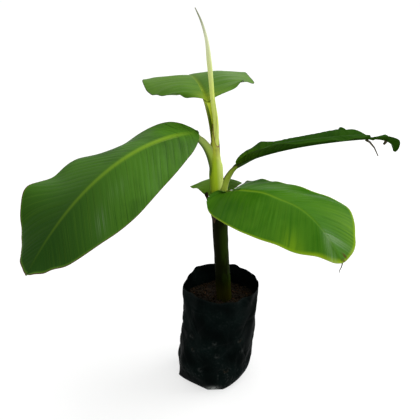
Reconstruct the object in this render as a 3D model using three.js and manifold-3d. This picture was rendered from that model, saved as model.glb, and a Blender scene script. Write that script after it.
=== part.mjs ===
// A young banana plant with five open leaves and a rolled spear, in a black film grow bag full of soil.
// Millimetres, +Z up. The origin is the middle of the bag's flat underside, and the front faces -Y.
import * as THREE from "three";
import Module from "manifold-3d";

const wasm = await Module();
wasm.setup();

const { Vector3 } = THREE;
const { PI, abs, cos, exp, max, min, sin } = Math;

// Driving dimensions of the bag and its soil
const GAP = 0.3; // clearance between pieces that touch on the real plant
const BAG = {
  height: 135,
  radius: 47.5,
  wall: 1,
  lean: 9, // the middle of the rim stands this far to the right of the middle of the base
  baseRadius: 46.5, // from the middle of the flat underside to its four folded corners
  baseShape: 1.22, // 1 gives the underside straight sides and sharp corners, 2 makes it round
  baseSkew: 0.25, // the left and right corners are turned by this, in radians, from square
  tuck: 26, // height over which the folded base fills out to the round
  bulge: 2, // swelling of the left side low down
  bulgeHeight: 31,
  // Upright creases of the film: depth, count round the bag, and the height over which each turns a radian
  creases: [
    { depth: 0.7, count: 7, pitch: 30 },
    { depth: 0.42, count: 13, pitch: -18 },
  ],
  // Unevenness of the cut rim: height, count round the bag and phase
  rimWaves: [
    { height: 1.6, count: 3, phase: 3.2 },
    { height: 1, count: 5, phase: 1 },
  ],
  sides: 40,
};
const SOIL = { level: 118, lumps: 1.4, seat: 13, edgeDrop: 2 };

// Driving dimensions of the false stem, made of the leaves' rolled sheaths
const STEM = {
  foot: SOIL.level + GAP,
  fork: 318,
  footX: 12.2, // it stands right of the middle and leans to the left
  forkX: 0,
  footRadius: 8.9,
  neckRadius: 7.2,
  forkRadius: 5.2,
  shoulder: 26, // length over which the top narrows to the fork
  swell: 1.1, // how far a leaf's sheath stands out below its petiole
  swellLength: 60,
  swellEnd: 14, // height over which the sheath closes again above the petiole
  rings: 22,
  sides: 16,
};

// The spear, the newest leaf still rolled up: points on its axis from inside the fork to its tip
const SPEAR = {
  axis: [
    [0.8, -1, 308],
    [0.6, -0.5, 352],
    [-2.6, 0, 376],
    [-6, 0, 418],
    [-10.2, 0, 446],
    [-15.6, 0, 463],
    [-21.5, 0, 475.5],
  ],
  footRadius: 3.5,
  tipRadius: 0.6,
  taper: 1.8, // above 1 keeps the thickness low down and thins towards the tip
  rings: 22,
  sides: 10,
};

// The dry end of an old sheath that curls away from the left of the stem
const DRY_SHEATH = {
  foot: 226,
  top: 258,
  curl: 6, // how far its top stands off the stem
  half: [4.2, 1.6],
  thick: 0.9,
  heading: 205,
  rings: 7,
  sides: 8,
};

// Sizes shared by all leaves
const LEAF = {
  thickShare: 0.01, // thickness of a blade over its length
  tipHalf: 1.2,
  ribHalf: [3.2, 0.9], // half width of the midrib at its base and its tip
  ribDepth: [3.2, 0.5], // how far it stands out below the blade
  veinCurve: 1.15, // above 1 bends the side veins on towards the tip
  lobeCurve: 0.5, // below 1 runs the base lobes back close beside the petiole
  hookPower: 14, // a hook bends only the last of the tip
  columns: 4, // faces from midrib to margin
};

// Each leaf, the youngest first. Headings are degrees from +X towards +Y, slopes are degrees above level.
// Folds and curls are degrees that a half of the blade drops at the midrib and bends on to its margin.
// A wave, and the quicker flutter on it, is its height at the margin, its count along the leaf and its phase.
const LEAVES = {
  top: leaf({
    base: [-8.4, 10.8, 371.5],
    heading: 105.5,
    swing: -2,
    slope: [25.5, -47],
    bend: 0.9,
    roll: [15, -2],
    length: 190,
    half: 63,
    sweep: 0.38,
    veins: 26,
    leftHalf: { fold: [0, 10.5], curl: 10, widest: 0.41, point: 1.9, wave: [2, 4.4, 5.6] },
    rightHalf: { fold: [-60, -1], curl: 65, widest: 0.41, point: 1.9, share: 1.09, wave: [0.6, 3.2, 2.2] },
    petiole: { leaves: 300, lift: 40, ease: 8, half: [4.4, 3.2], depth: [4.6, 4.2] },
  }),
  left: leaf({
    base: [-20, -3.8, 339.8],
    heading: 218.7,
    swing: 17,
    slope: [13, -44.5],
    bend: 0.76,
    roll: [-17, -3.5],
    length: 256,
    half: 56.3,
    foot: 0.16,
    heel: 1.56,
    sweep: 0.9,
    leftHalf: { fold: [17.7, 18.3], curl: 18.7, widest: 0.55, point: 1.93 },
    rightHalf: {
      fold: [14.6, 5.9],
      curl: 9,
      widest: 0.64,
      point: 2.1,
      share: 1.06,
      wave: [12.3, 1.48, 1.71],
      flutter: [5.5, 3.04, -0.4],
    },
    petiole: { leaves: 288, lift: 24, ease: 14, half: [6.5, 3.6], depth: [6, 5] },
  }),
  right: leaf({
    base: [25.7, 13.2, 292.4],
    heading: 18,
    swing: 6,
    slope: [22.5, -7],
    bend: 0.41,
    hook: 80,
    roll: [-14, -28],
    length: 236,
    half: 36.4,
    foot: 0.28,
    heel: 1.9,
    sweep: 0.64,
    neck: { at: 0.86, depth: 0.76, length: 0.03 },
    veins: 28,
    leftHalf: { fold: [-48, -75], curl: 90, widest: 0.44, point: 1.52, wave: [0.8, 3.2, 2.8] },
    rightHalf: { fold: [-59, -26], curl: 81, widest: 0.44, point: 1.52, wave: [0.4, 3.2, 0.2] },
    petiole: { leaves: 240, lift: 26, ease: 10, half: [5.5, 3], depth: [5.5, 4.4] },
  }),
  front: leaf({
    base: [12.6, -12.7, 269],
    heading: 314.5,
    swing: -9.5,
    slope: [29, -48.5],
    bend: 1.23,
    roll: [18, 10.5],
    length: 190,
    half: 55.5,
    foot: 0.26,
    sweep: 0.81,
    lobe: 21.5,
    leftHalf: { fold: [14, 14.5], widest: 0.56, point: 2.25, share: 1.09, wave: [5.5, 1.26, 1.87] },
    rightHalf: { fold: [10.5, 3.5], curl: 18.5, widest: 0.41, point: 1.83 },
    petiole: { leaves: 232, lift: 22, ease: 8, half: [6, 3.4], depth: [6, 4.6] },
  }),
  small: leaf({
    base: [4, 11.5, 257.5],
    heading: 93,
    swing: -7,
    slope: [13.5, -57],
    length: 118,
    half: 34,
    heel: 1.8,
    sweep: 0.58,
    lobe: 1.5,
    veins: 16,
    leftHalf: { fold: [14.5, 0.5], curl: 34, share: 1.02, point: 1.85 },
    rightHalf: { fold: [-1, 12.5], curl: 12, point: 1.85 },
    petiole: { leaves: 222, lift: 22, ease: 6, half: [5, 2.6], depth: [5, 3.6] },
  }),
};

// Plain values
function rad(degrees) {
  return (degrees * PI) / 180;
}

function mix(a, b, t) {
  return a + (b - a) * t;
}

function sum(values) {
  return values.reduce((total, value) => total + value, 0);
}

function smooth(low, high, x) {
  const t = min(1, max(0, (x - low) / (high - low)));
  return t * t * (3 - 2 * t);
}

// Fills in what a leaf leaves to the usual values
function leaf(sizes) {
  const flat = [0, 1, 0];
  const half = { fold: [12, 12], curl: 20, widest: 0.5, point: 2, share: 1, wave: flat, flutter: flat };
  return {
    swing: 0,
    bend: 1,
    hook: 0,
    roll: [0, 0],
    foot: 0.2, // width at the petiole over the greatest width
    heel: 1.9, // above 1 rounds the base of the blade
    sweep: 0.6, // how far the side veins run on towards the tip
    lobe: 0, // how far the base lobes reach back past the petiole
    neck: null,
    veins: 20,
    ...sizes,
    base: new Vector3(...sizes.base),
    leftHalf: { ...half, ...sizes.leftHalf },
    rightHalf: { ...half, ...sizes.rightHalf },
  };
}

// Closed body through rings of equal, even count, with a strip of triangles across each end.
// The two halves of the rings share their diagonals, so a thin twisted sheet doesn't cross itself.
function loft(rings) {
  const count = rings[0].length;
  const positions = rings.flat().flatMap((p) => [p.x, p.y, p.z]);
  const faces = [];
  const quad = (a, b, c, d) => faces.push(a, b, c, a, c, d);
  for (let i = 0; i + 1 < rings.length; i++) {
    for (let j = 0; j < count; j++) {
      const k = (j + 1) % count;
      const corners = [i * count + j, i * count + k, (i + 1) * count + k, (i + 1) * count + j];
      quad(...(j < count / 2 ? corners : [...corners.slice(1), corners[0]]));
    }
  }
  const last = (rings.length - 1) * count;
  for (let j = 0; j < count / 2 - 1; j++) {
    quad(j, count - 1 - j, count - 2 - j, j + 1);
    quad(last + j, last + j + 1, last + count - 2 - j, last + count - 1 - j);
  }
  const geometry = new THREE.BufferGeometry();
  geometry.setAttribute("position", new THREE.Float32BufferAttribute(positions, 3));
  geometry.setIndex(facingOut(positions, faces));
  return geometry;
}

// Turns the triangles round if the body they close has a negative volume
function facingOut(positions, faces) {
  const corner = (i) => new Vector3().fromArray(positions, 3 * i);
  let volume = 0;
  for (let i = 0; i < faces.length; i += 3) {
    const [a, b, c] = faces.slice(i, i + 3).map(corner);
    volume += a.dot(b.cross(c));
  }
  return volume < 0 ? faces.reverse() : faces;
}

// Bodies for cutting, and back to geometry
function solidOf(geometry) {
  return new wasm.Manifold(
    new wasm.Mesh({
      numProp: 3,
      vertProperties: geometry.getAttribute("position").array,
      triVerts: new Uint32Array(geometry.index.array),
    }),
  );
}

function geometryOf(solid) {
  const mesh = solid.getMesh();
  const geometry = new THREE.BufferGeometry();
  geometry.setAttribute("position", new THREE.BufferAttribute(mesh.vertProperties, 3));
  geometry.setIndex(new THREE.BufferAttribute(mesh.triVerts, 1));
  return geometry;
}

// What is left of a body outside its neighbours, without loose scraps
function cutClear(geometry, neighbours) {
  let solid = solidOf(geometry);
  for (const neighbour of neighbours) {
    solid = solid.subtract(solidOf(neighbour));
  }
  const bodies = solid.decompose();
  bodies.sort((a, b) => b.volume() - a.volume());
  return geometryOf(bodies[0]);
}

// Rings of a section (across, up) carried along points, level with the given side directions
function sweep(points, sides, count, section) {
  const last = points.length - 1;
  return loft(
    points.map((p, i) => {
      const along = points[min(i + 1, last)].clone().sub(points[max(i - 1, 0)]).normalize();
      const up = along.clone().cross(sides[i]).normalize();
      const across = up.clone().cross(along);
      return Array.from({ length: count }, (_, j) => {
        const [a, u] = section(i / last, (2 * PI * (j + 0.5)) / count);
        return p.clone().addScaledVector(across, a).addScaledVector(up, u);
      });
    }),
  );
}

// The bag's outer radius: a folded four-cornered base that fills out to a creased round
function bagRadius(angle, z) {
  const { radius, baseRadius, baseShape: shape, baseSkew, tuck, bulge, bulgeHeight } = BAG;
  const square = angle - baseSkew * abs(cos(angle));
  const base = baseRadius / (abs(cos(square)) ** shape + abs(sin(square)) ** shape) ** (1 / shape);
  const swelling = bulge * max(0, -cos(angle)) * exp(-(((z - bulgeHeight) / tuck) ** 2));
  const folds = BAG.creases.map(({ depth, count, pitch }) => depth * sin(count * angle + z / pitch));
  const fill = 1 - (1 - min(1, z / tuck)) ** 2;
  return mix(base, radius + swelling + sum(folds), fill);
}

function bagPoint(angle, z, inset) {
  const r = bagRadius(angle, z) - inset;
  return new Vector3((BAG.lean * z) / BAG.height + r * cos(angle), r * sin(angle), z);
}

function rimHeight(angle) {
  const waves = BAG.rimWaves.map(({ height, count, phase }) => height * sin(count * angle + phase));
  return BAG.height + sum(waves);
}

function ringOf(point) {
  return Array.from({ length: BAG.sides }, (_, j) => point((2 * PI * (j + 0.5)) / BAG.sides));
}

const BAG_LEVELS = [0, 5, 12, 26, 55, 90, 118];

// The filled-out shape of the bag up to a top ring, drawn in by an inset all round
function bagBody(inset, topHeight) {
  const sides = BAG_LEVELS.map((z) => ringOf((angle) => bagPoint(angle, max(z, inset), inset)));
  return loft([...sides, ringOf((angle) => bagPoint(angle, topHeight(angle), inset))]);
}

function growBag() {
  const hollow = bagBody(BAG.wall, (angle) => rimHeight(angle) + BAG.wall);
  return cutClear(bagBody(0, rimHeight), [hollow]);
}

// Soil up to a lumpy top, with a level seat under the stem
function soil() {
  const inset = BAG.wall + GAP;
  const { level, lumps, seat, edgeDrop } = SOIL;
  const edge = (angle) => bagPoint(angle, level - edgeDrop + lumps * sin(5 * angle), inset);
  const seatPoint = (angle) => new Vector3(STEM.footX + seat * cos(angle), seat * sin(angle), level);
  const sides = BAG_LEVELS.slice(0, -1).map((z) => ringOf((angle) => bagPoint(angle, max(z, inset), inset)));
  const top = [0, 0.35, 0.7].map((t) =>
    ringOf((angle) => {
      const lump = lumps * sin(PI * t) * sin(3 * angle + 9 * t);
      return edge(angle).lerp(seatPoint(angle), t).add(new Vector3(0, 0, lump));
    }),
  );
  return loft([...sides, ...top, ringOf(seatPoint)]);
}

// The false stem
function stemPoint(z) {
  const t = (z - STEM.foot) / (STEM.fork - STEM.foot);
  return new Vector3(mix(STEM.footX, STEM.forkX, t), 0, z);
}

function stemRadius(angle, z) {
  const t = (z - STEM.foot) / (STEM.fork - STEM.foot);
  const body = mix(STEM.footRadius, STEM.neckRadius, t * t);
  const narrowed = mix(body, STEM.forkRadius, smooth(STEM.fork - STEM.shoulder, STEM.fork, z));
  const sheaths = Object.values(LEAVES).map(({ heading, petiole: { leaves } }) => {
    const faces = max(0, cos(angle - rad(heading))) ** 2;
    const grown = smooth(leaves - STEM.swellLength, leaves, z);
    return STEM.swell * faces * grown * (1 - smooth(leaves, leaves + STEM.swellEnd, z));
  });
  return narrowed + max(...sheaths);
}

// The stem, or with grow the space round it that its neighbours keep out of
function stem(grow = 0) {
  const rings = [];
  for (let i = 0; i <= STEM.rings; i++) {
    const z = mix(STEM.foot - grow, STEM.fork + grow, i / STEM.rings);
    rings.push(
      Array.from({ length: STEM.sides }, (_, j) => {
        const angle = (2 * PI * (j + 0.5)) / STEM.sides;
        const r = stemRadius(angle, min(STEM.fork, max(STEM.foot, z))) + grow;
        return stemPoint(z).add(new Vector3(r * cos(angle), r * sin(angle), 0));
      }),
    );
  }
  return loft(rings);
}

function spear(grow = 0) {
  const axis = new THREE.CatmullRomCurve3(SPEAR.axis.map((p) => new Vector3(...p)));
  const points = axis.getPoints(SPEAR.rings);
  const sides = points.map(() => new Vector3(0, 1, 0));
  return sweep(points, sides, SPEAR.sides, (t, angle) => {
    const r = mix(SPEAR.footRadius, SPEAR.tipRadius, t ** SPEAR.taper) + grow;
    return [r * cos(angle), r * sin(angle)];
  });
}

function drySheath() {
  const { foot, top, curl, half, thick, heading, rings, sides } = DRY_SHEATH;
  const outwards = new Vector3(cos(rad(heading)), sin(rad(heading)), 0);
  const across = new Vector3(-outwards.y, outwards.x, 0);
  const points = Array.from({ length: rings }, (_, i) => {
    const t = i / (rings - 1);
    const z = mix(foot, top, t);
    const away = stemRadius(rad(heading), z) + GAP + thick / 2 + curl * t ** 2;
    return stemPoint(z).addScaledVector(outwards, away);
  });
  return sweep(points, points.map(() => across), sides, (t, angle) => {
    return [mix(...half, t) * cos(angle), (thick / 2) * sin(angle)];
  });
}

// Places and directions along a leaf's midrib, from 0 at the petiole to 1 at the tip
const MIDRIB_STEPS = 80;

function midrib({ base, heading, swing, slope, bend, hook, roll, length }) {
  const frames = [];
  const place = base.clone();
  for (let i = 0; i <= MIDRIB_STEPS; i++) {
    const x = i / MIDRIB_STEPS;
    const turn = rad(heading + swing * x);
    const pitch = rad(mix(...slope, x ** bend) - hook * x ** LEAF.hookPower);
    const along = new Vector3(cos(pitch) * cos(turn), cos(pitch) * sin(turn), sin(pitch));
    const left = new Vector3(-sin(turn), cos(turn), 0).applyAxisAngle(along, rad(mix(...roll, x)));
    frames.push({ place: place.clone(), along, left, up: along.clone().cross(left) });
    place.addScaledVector(along, length / MIDRIB_STEPS);
  }
  return frames;
}

// The frame at a share x of the midrib, carried on straight behind the base
function frameAt(frames, x, length) {
  const at = min(1, max(0, x)) * MIDRIB_STEPS;
  const i = min(MIDRIB_STEPS - 1, Math.floor(at));
  const [a, b] = [frames[i], frames[i + 1]];
  const between = (key) => a[key].clone().lerp(b[key], at - i);
  const place = between("place").addScaledVector(a.along, min(0, x) * length);
  return { place, left: between("left"), up: between("up") };
}

// Width of a half blade over its greatest: two superellipse quarters that meet at the widest point
function outline(t, foot, heel, widest, point) {
  if (t < widest) {
    return foot + (1 - foot) * (1 - (1 - t / widest) ** heel) ** (1 / heel);
  }
  return (1 - min(1, (t - widest) / (1 - widest)) ** point) ** (1 / point);
}

// A point of the blade's middle surface, a share q out to the margin along the side vein rooted at share s
function bladePoint(sizes, frames, s, q, side) {
  const { length, half, foot, heel, sweep: swept, lobe, neck } = sizes;
  const { fold, curl, widest, point, share, wave, flutter } = side > 0 ? sizes.leftHalf : sizes.rightHalf;
  const end = s + ((swept * half) / length) * 4 * s * (1 - s);
  let width = half * share * outline(end, foot, heel, widest, point);
  if (neck) {
    width *= 1 - neck.depth * exp(-(((end - neck.at) / neck.length) ** 2));
  }
  width = max(width, LEAF.tipHalf);
  const lobed = (lobe / length) * (1 - s) ** 4 * q ** LEAF.lobeCurve;
  const x = s + (end - s) * q ** LEAF.veinCurve - lobed;
  const { place, left, up } = frameAt(frames, x, length);
  const out = width * q;
  const dropped = mix(...fold, min(1, max(0, x)));
  const chord = rad(dropped + (curl * out) / half / 2);
  const rise = ([height, count, phase]) => height * sin(2 * PI * count * x + phase);
  const ripple = (rise(wave) + rise(flutter)) * (out / half) ** 2;
  const tilt = q ? rad(dropped + (curl * out) / half) : 0;
  return {
    middle: place
      .addScaledVector(left, side * out * cos(chord))
      .addScaledVector(up, ripple - out * sin(chord)),
    normal: up.clone().multiplyScalar(cos(tilt)).addScaledVector(left, side * sin(tilt)),
    width,
  };
}

// A leaf's blade, a thin sheet along its side veins with the midrib standing out below
function blade(sizes) {
  const frames = midrib(sizes);
  const thick = sizes.length * LEAF.thickShare;
  const rings = [];
  for (let i = 0; i <= sizes.veins; i++) {
    const s = i / sizes.veins;
    const ribHalf = mix(...LEAF.ribHalf, s);
    const ribDepth = mix(...LEAF.ribDepth, s);
    const row = [];
    for (let j = -LEAF.columns; j <= LEAF.columns; j++) {
      const side = j < 0 ? 1 : -1;
      const { width } = bladePoint(sizes, frames, s, 1, side);
      const rib = min(0.5, ribHalf / width);
      const q = j === 0 ? 0 : mix(rib, 1, (abs(j) - 1) / (LEAF.columns - 1));
      const { middle, normal } = bladePoint(sizes, frames, s, q, side);
      const depth = thick / 2 + (j === 0 ? ribDepth : 0);
      row.push({
        top: middle.clone().addScaledVector(normal, thick / 2),
        under: middle.clone().addScaledVector(normal, -depth),
      });
    }
    rings.push([...row.map(({ top }) => top), ...row.reverse().map(({ under }) => under)]);
  }
  return loft(rings);
}

// A leaf's petiole, a grooved limb that climbs out of the stem and bends into the midrib
const PETIOLE = { rings: 12, sides: 12, groove: 0.55 };

function petiole(sizes, grow = 0) {
  const { base, heading } = sizes;
  const { leaves, lift, ease, half, depth } = sizes.petiole;
  const { along, left, up } = midrib(sizes)[0];
  const end = base.clone().addScaledVector(along, grow - GAP).addScaledVector(up, -depth[1] / 2);
  const start = stemPoint(leaves);
  const path = new THREE.CubicBezierCurve3(
    start,
    start.clone().add(new Vector3(0, 0, lift)),
    end.clone().addScaledVector(along, -ease),
    end,
  );
  const points = path.getPoints(PETIOLE.rings);
  const level = new Vector3(-sin(rad(heading)), cos(rad(heading)), 0);
  const sides = points.map((_, i) => level.clone().lerp(left, i / PETIOLE.rings));
  return sweep(points, sides, PETIOLE.sides, (t, angle) => {
    const groove = grow ? 0 : PETIOLE.groove * max(0, sin(angle)) ** 6;
    return [(mix(...half, t) + grow) * cos(angle), (mix(...depth, t) / 2 + grow) * sin(angle) * (1 - groove)];
  });
}

// The whole plant
const MATERIALS = {
  bag: { color: 0x0d1413, roughness: 0.5 },
  soil: { color: 0x2a1c12, roughness: 1 },
  stem: { color: 0x7f9a3c, roughness: 0.5 },
  petiole: { color: 0x86a844, roughness: 0.5 },
  blade: { color: 0x3f7d22, roughness: 0.42 },
  spear: { color: 0xc9d69a, roughness: 0.5 },
  drySheath: { color: 0x3a2a1c, roughness: 0.9 },
};

const plant = new THREE.Group();
plant.name = "banana_starter_plant";

function add(name, geometry, material) {
  geometry.computeVertexNormals();
  const finish = new THREE.MeshStandardMaterial({ metalness: 0, ...MATERIALS[material] });
  const mesh = new THREE.Mesh(geometry, finish);
  mesh.name = name;
  plant.add(mesh);
}

add("grow_bag", growBag(), "bag");
add("soil", soil(), "soil");
add("pseudostem", stem(), "stem");
add("dry_sheath", cutClear(drySheath(), [stem(GAP)]), "drySheath");
add("spear_leaf", cutClear(spear(), [stem(GAP)]), "spear");
// An older petiole clasps the younger ones, and a blade keeps clear of every limb
const limbs = [stem(GAP), spear(GAP)];
for (const [name, sizes] of Object.entries(LEAVES)) {
  add(`petiole_${name}`, cutClear(petiole(sizes), limbs), "petiole");
  limbs.push(petiole(sizes, GAP));
}
for (const [name, sizes] of Object.entries(LEAVES)) {
  add(`blade_${name}`, cutClear(blade(sizes), limbs), "blade");
}

export default plant;
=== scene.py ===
"""Looks of a young banana plant in a black film grow bag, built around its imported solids.

The plant's sizes are in millimetres and repeat those of its solids. Every mesh is made in metres.
"""
import logging
import math
from dataclasses import dataclass
from enum import Enum

import bpy
import numpy as np
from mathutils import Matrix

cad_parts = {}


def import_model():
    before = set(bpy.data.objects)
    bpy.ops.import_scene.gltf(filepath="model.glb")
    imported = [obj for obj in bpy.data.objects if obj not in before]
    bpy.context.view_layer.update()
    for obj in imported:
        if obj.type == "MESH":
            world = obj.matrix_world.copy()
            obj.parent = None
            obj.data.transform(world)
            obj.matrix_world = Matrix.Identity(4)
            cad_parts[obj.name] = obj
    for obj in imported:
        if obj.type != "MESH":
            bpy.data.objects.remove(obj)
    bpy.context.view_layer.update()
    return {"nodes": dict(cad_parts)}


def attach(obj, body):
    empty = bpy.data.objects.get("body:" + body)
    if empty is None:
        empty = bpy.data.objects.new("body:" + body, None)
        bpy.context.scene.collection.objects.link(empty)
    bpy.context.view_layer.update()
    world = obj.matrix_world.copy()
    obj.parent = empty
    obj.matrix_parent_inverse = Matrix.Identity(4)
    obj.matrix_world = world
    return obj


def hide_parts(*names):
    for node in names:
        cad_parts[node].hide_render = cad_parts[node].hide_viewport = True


LOG = logging.getLogger("starter_plant")
MM = 0.001
BODY = "root"
SHARP_ANGLE = 55.0
THREAD_SIDES = 6
FULL_TURN = 2 * math.pi
UP = np.array([0.0, 0.0, 1.0])
Array = np.ndarray
Number = float | Array
Colour = tuple[float, float, float]
Place = tuple[float, float, float]
Pair = tuple[float, float]
Waves = tuple[tuple[float, int, float], ...]
Object = bpy.types.Object
Material = bpy.types.Material
Socket = bpy.types.NodeSocket


class Side(Enum):
    """The two halves of a blade, seen from its petiole, each with its sign along the left direction."""

    LEFT = 1
    RIGHT = -1


class Patch(Enum):
    """What a patch on a blade is, by the name of the number that its finish reads."""

    SPOT = "spot"
    BLOOM = "bloom"
    # Grey scratched wax, partly a painted sheen.
    PALE = "pale"
    # A painted shadow: the deep green laid where other parts shade the blade.
    DEEP = "dark"


def mix(first: Number, second: Number, share: Number) -> Number:
    """Returns the value a share of the way from the first to the second."""
    return first + (second - first) * share


def smooth(low: float, high: float, value: Number) -> Number:
    """Returns 0 below low and 1 above high, with a soft step between."""
    t = np.clip((value - low) / (high - low), 0, 1)
    return t * t * (3 - 2 * t)


def bell(distance: Number, width: float) -> Number:
    """Returns 1 at no distance, falling to 0 within about two widths."""
    return np.exp(-((distance / width) ** 2))


def unit(vectors: Array) -> Array:
    """Returns the vectors at length 1."""
    return vectors / np.maximum(np.linalg.norm(vectors, axis=-1, keepdims=True), 1e-9)


def normals(grid: Array) -> Array:
    """Returns the directions that stand off a grid of points."""
    return unit(np.cross(np.gradient(grid, axis=0), -np.gradient(grid, axis=1)))


def even_angles(count: int) -> Array:
    """Returns that many even angles round a full turn."""
    return (np.arange(count) + 0.5) * FULL_TURN / count


def level_ways(angle: Array) -> Array:
    """Returns the level directions at angles from +X towards +Y."""
    return np.stack([np.cos(angle), np.sin(angle), 0 * angle], -1)


def turned_from(heading: float, angle: Array) -> Array:
    """Returns how far angles are turned from a heading, the short way round."""
    return (angle - heading + math.pi) % FULL_TURN - math.pi


def facing(heading: float, length: float, angle: Array) -> Array:
    """Returns 1 at a heading, falling to 0 within about two lengths, both in degrees."""
    return bell(turned_from(math.radians(heading), angle), math.radians(length))


@dataclass(frozen=True)
class Unevenness:
    """Smooth random hills in space: waves in seeded directions, of a mean length and usual height in mm."""

    seed: int
    size: float
    height: float
    waves: int = 16
    spread: Pair = (0.6, 1.6)

    def at(self, points: Array) -> Array:
        """Works out the hills.

        Args:
            points: Places in mm.

        Returns:
            The height at each place.
        """
        random = np.random.default_rng(self.seed)
        total = np.zeros(points.shape[:-1])
        for _ in range(self.waves):
            way = unit(random.normal(size=3))
            pace = FULL_TURN / (self.size * random.uniform(*self.spread))
            total += np.sin(pace * (points @ way) + random.uniform(0, FULL_TURN))
        return self.height * total / math.sqrt(self.waves / 2)


# Meshes from arrays of points


def quads(*corners: Array) -> Array:
    """Returns four arrays of corner numbers as one list of faces."""
    return np.stack([corner.ravel() for corner in corners], 1)


def facing_out(points: Array, faces: Array) -> Array:
    """Returns a closed body's faces, turned round if they point inwards."""
    a, b, c, d = (points[faces[:, k]] for k in range(4))
    volume = np.sum(a * np.cross(b, c)) + np.sum(a * np.cross(c, d))
    return faces if volume > 0 else faces[:, ::-1]


def closed_sheet(top: Array, under: Array) -> tuple[Array, Array]:
    """Joins two grids of points into one thin closed sheet.

    Args:
        top: Points of the upper face, rows by columns.
        under: Points of the lower face, in the same order.

    Returns:
        The points, upper face first, and the faces.
    """
    index = np.arange(top.shape[0] * top.shape[1]).reshape(top.shape[:2])
    below = index + index.size
    upper = quads(index[:-1, :-1], index[:-1, 1:], index[1:, 1:], index[1:, :-1])
    lower = quads(below[:-1, :-1], below[1:, :-1], below[1:, 1:], below[:-1, 1:])
    border = np.concatenate([index[0, :-1], index[:-1, -1], index[-1, :0:-1], index[:0:-1, 0]])
    following = np.roll(border, -1)
    rim = quads(following, border, border + index.size, following + index.size)
    points = np.concatenate([top.reshape(-1, 3), under.reshape(-1, 3)])
    return points, facing_out(points, np.concatenate([upper, lower, rim]))


def closed_tube(rings: Array) -> tuple[Array, Array]:
    """Joins rings of an even count of points into one closed body with a strip of faces across each end.

    Args:
        rings: Points, rings by points round each ring.

    Returns:
        The points in ring order and the faces.
    """
    count = rings.shape[1]
    index = np.arange(rings.shape[0] * count).reshape(rings.shape[:2])
    turned = np.roll(index, -1, axis=1)
    walls = quads(index[:-1], turned[:-1], turned[1:], index[1:])
    step = np.arange(count // 2 - 1)
    first = quads(step, count - 1 - step, count - 2 - step, step + 1)
    last = index[-1, 0] + quads(step, step + 1, count - 2 - step, count - 1 - step)
    points = rings.reshape(-1, 3)
    return points, facing_out(points, np.concatenate([walls, first, last]))


def link(name: str, data: bpy.types.ID) -> Object:
    """Returns a new object with that data, linked to the scene."""
    thing = bpy.data.objects.new(name, data)
    bpy.context.scene.collection.objects.link(thing)
    return thing


def carry(mesh: bpy.types.Mesh, values: dict[str, Array]) -> None:
    """Stores named numbers at a mesh's points."""
    for key, value in values.items():
        numbers = mesh.attributes.new(key, "FLOAT", "POINT").data
        numbers.foreach_set("value", value.astype(np.float32).ravel())


def make_piece(
    name: str,
    body: tuple[Array, Array],
    material: Material,
    uv: tuple[Array, Array] | None = None,
    **values: Array,
) -> Object:
    """Makes a mesh object that sits at the origin.

    Args:
        name: The piece's name.
        body: Its points in mm and the corner numbers of its faces.
        material: Its finish.
        uv: The two numbers of each point's pattern coordinate.
        **values: Named numbers for each point, which the finish reads.

    Returns:
        The object, linked to the scene.
    """
    points, faces = body
    mesh = bpy.data.meshes.new(name)
    mesh.from_pydata((points * MM).tolist(), [], faces.tolist())
    mesh.materials.append(material)
    if uv is not None:
        corners = np.zeros(len(mesh.loops), np.int32)
        mesh.loops.foreach_get("vertex_index", corners)
        pattern = np.stack([part.ravel() for part in uv], 1)[corners].astype(np.float32)
        mesh.uv_layers.new(name="UVMap").data.foreach_set("uv", pattern.ravel())
    carry(mesh, values)
    mesh.shade_smooth()
    mesh.set_sharp_from_angle(angle=math.radians(SHARP_ANGLE))
    return link(name, mesh)


def seat(piece: Object, slot: str, *nodes: str) -> None:
    """Puts a piece on the body.

    Args:
        piece: The piece.
        slot: The name of its finish's slot; not used.
        *nodes: The solids that it stands for.
    """
    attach(piece, BODY)
    if nodes:
        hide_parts(*nodes)
    LOG.info("%s: %d faces, stands for %s", piece.name, len(piece.data.polygons), nodes or "no solid")


# Trees of nodes


class NodeTree:
    """A tree of nodes, written one step at a time."""

    def __init__(self, tree: bpy.types.NodeTree) -> None:
        """Takes up a tree."""
        self.tree = tree

    def put(self, socket: Socket, value: object) -> None:
        """Links a socket to another one, or sets its plain value.

        Args:
            socket: The input to fill.
            value: The other socket, or the value.
        """
        if isinstance(value, Socket):
            self.tree.links.new(value, socket)
        elif isinstance(value, tuple) and socket.type == "RGBA":
            socket.default_value = (*value, 1.0)
        else:
            socket.default_value = value

    def add(self, kind: str, inputs: dict | None = None, **settings: object) -> bpy.types.Node:
        """Adds a node.

        Args:
            kind: The node's type.
            inputs: Sockets or plain values by the name or number of the node's input.
            **settings: The node's own options.

        Returns:
            The node.
        """
        node = self.tree.nodes.new(kind)
        for key, value in settings.items():
            setattr(node, key, value)
        for key, value in (inputs or {}).items():
            self.put(node.inputs[key], value)
        return node

    def get(self, kind: str, inputs: dict | None = None, **settings: object) -> Socket:
        """Adds a node in the same way and returns its first output."""
        return self.add(kind, inputs, **settings).outputs[0]

    def sums(self, operation: str, first: object, second: object) -> Socket:
        """Returns the result of one sum."""
        return self.get("ShaderNodeMath", {0: first, 1: second}, operation=operation)


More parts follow.
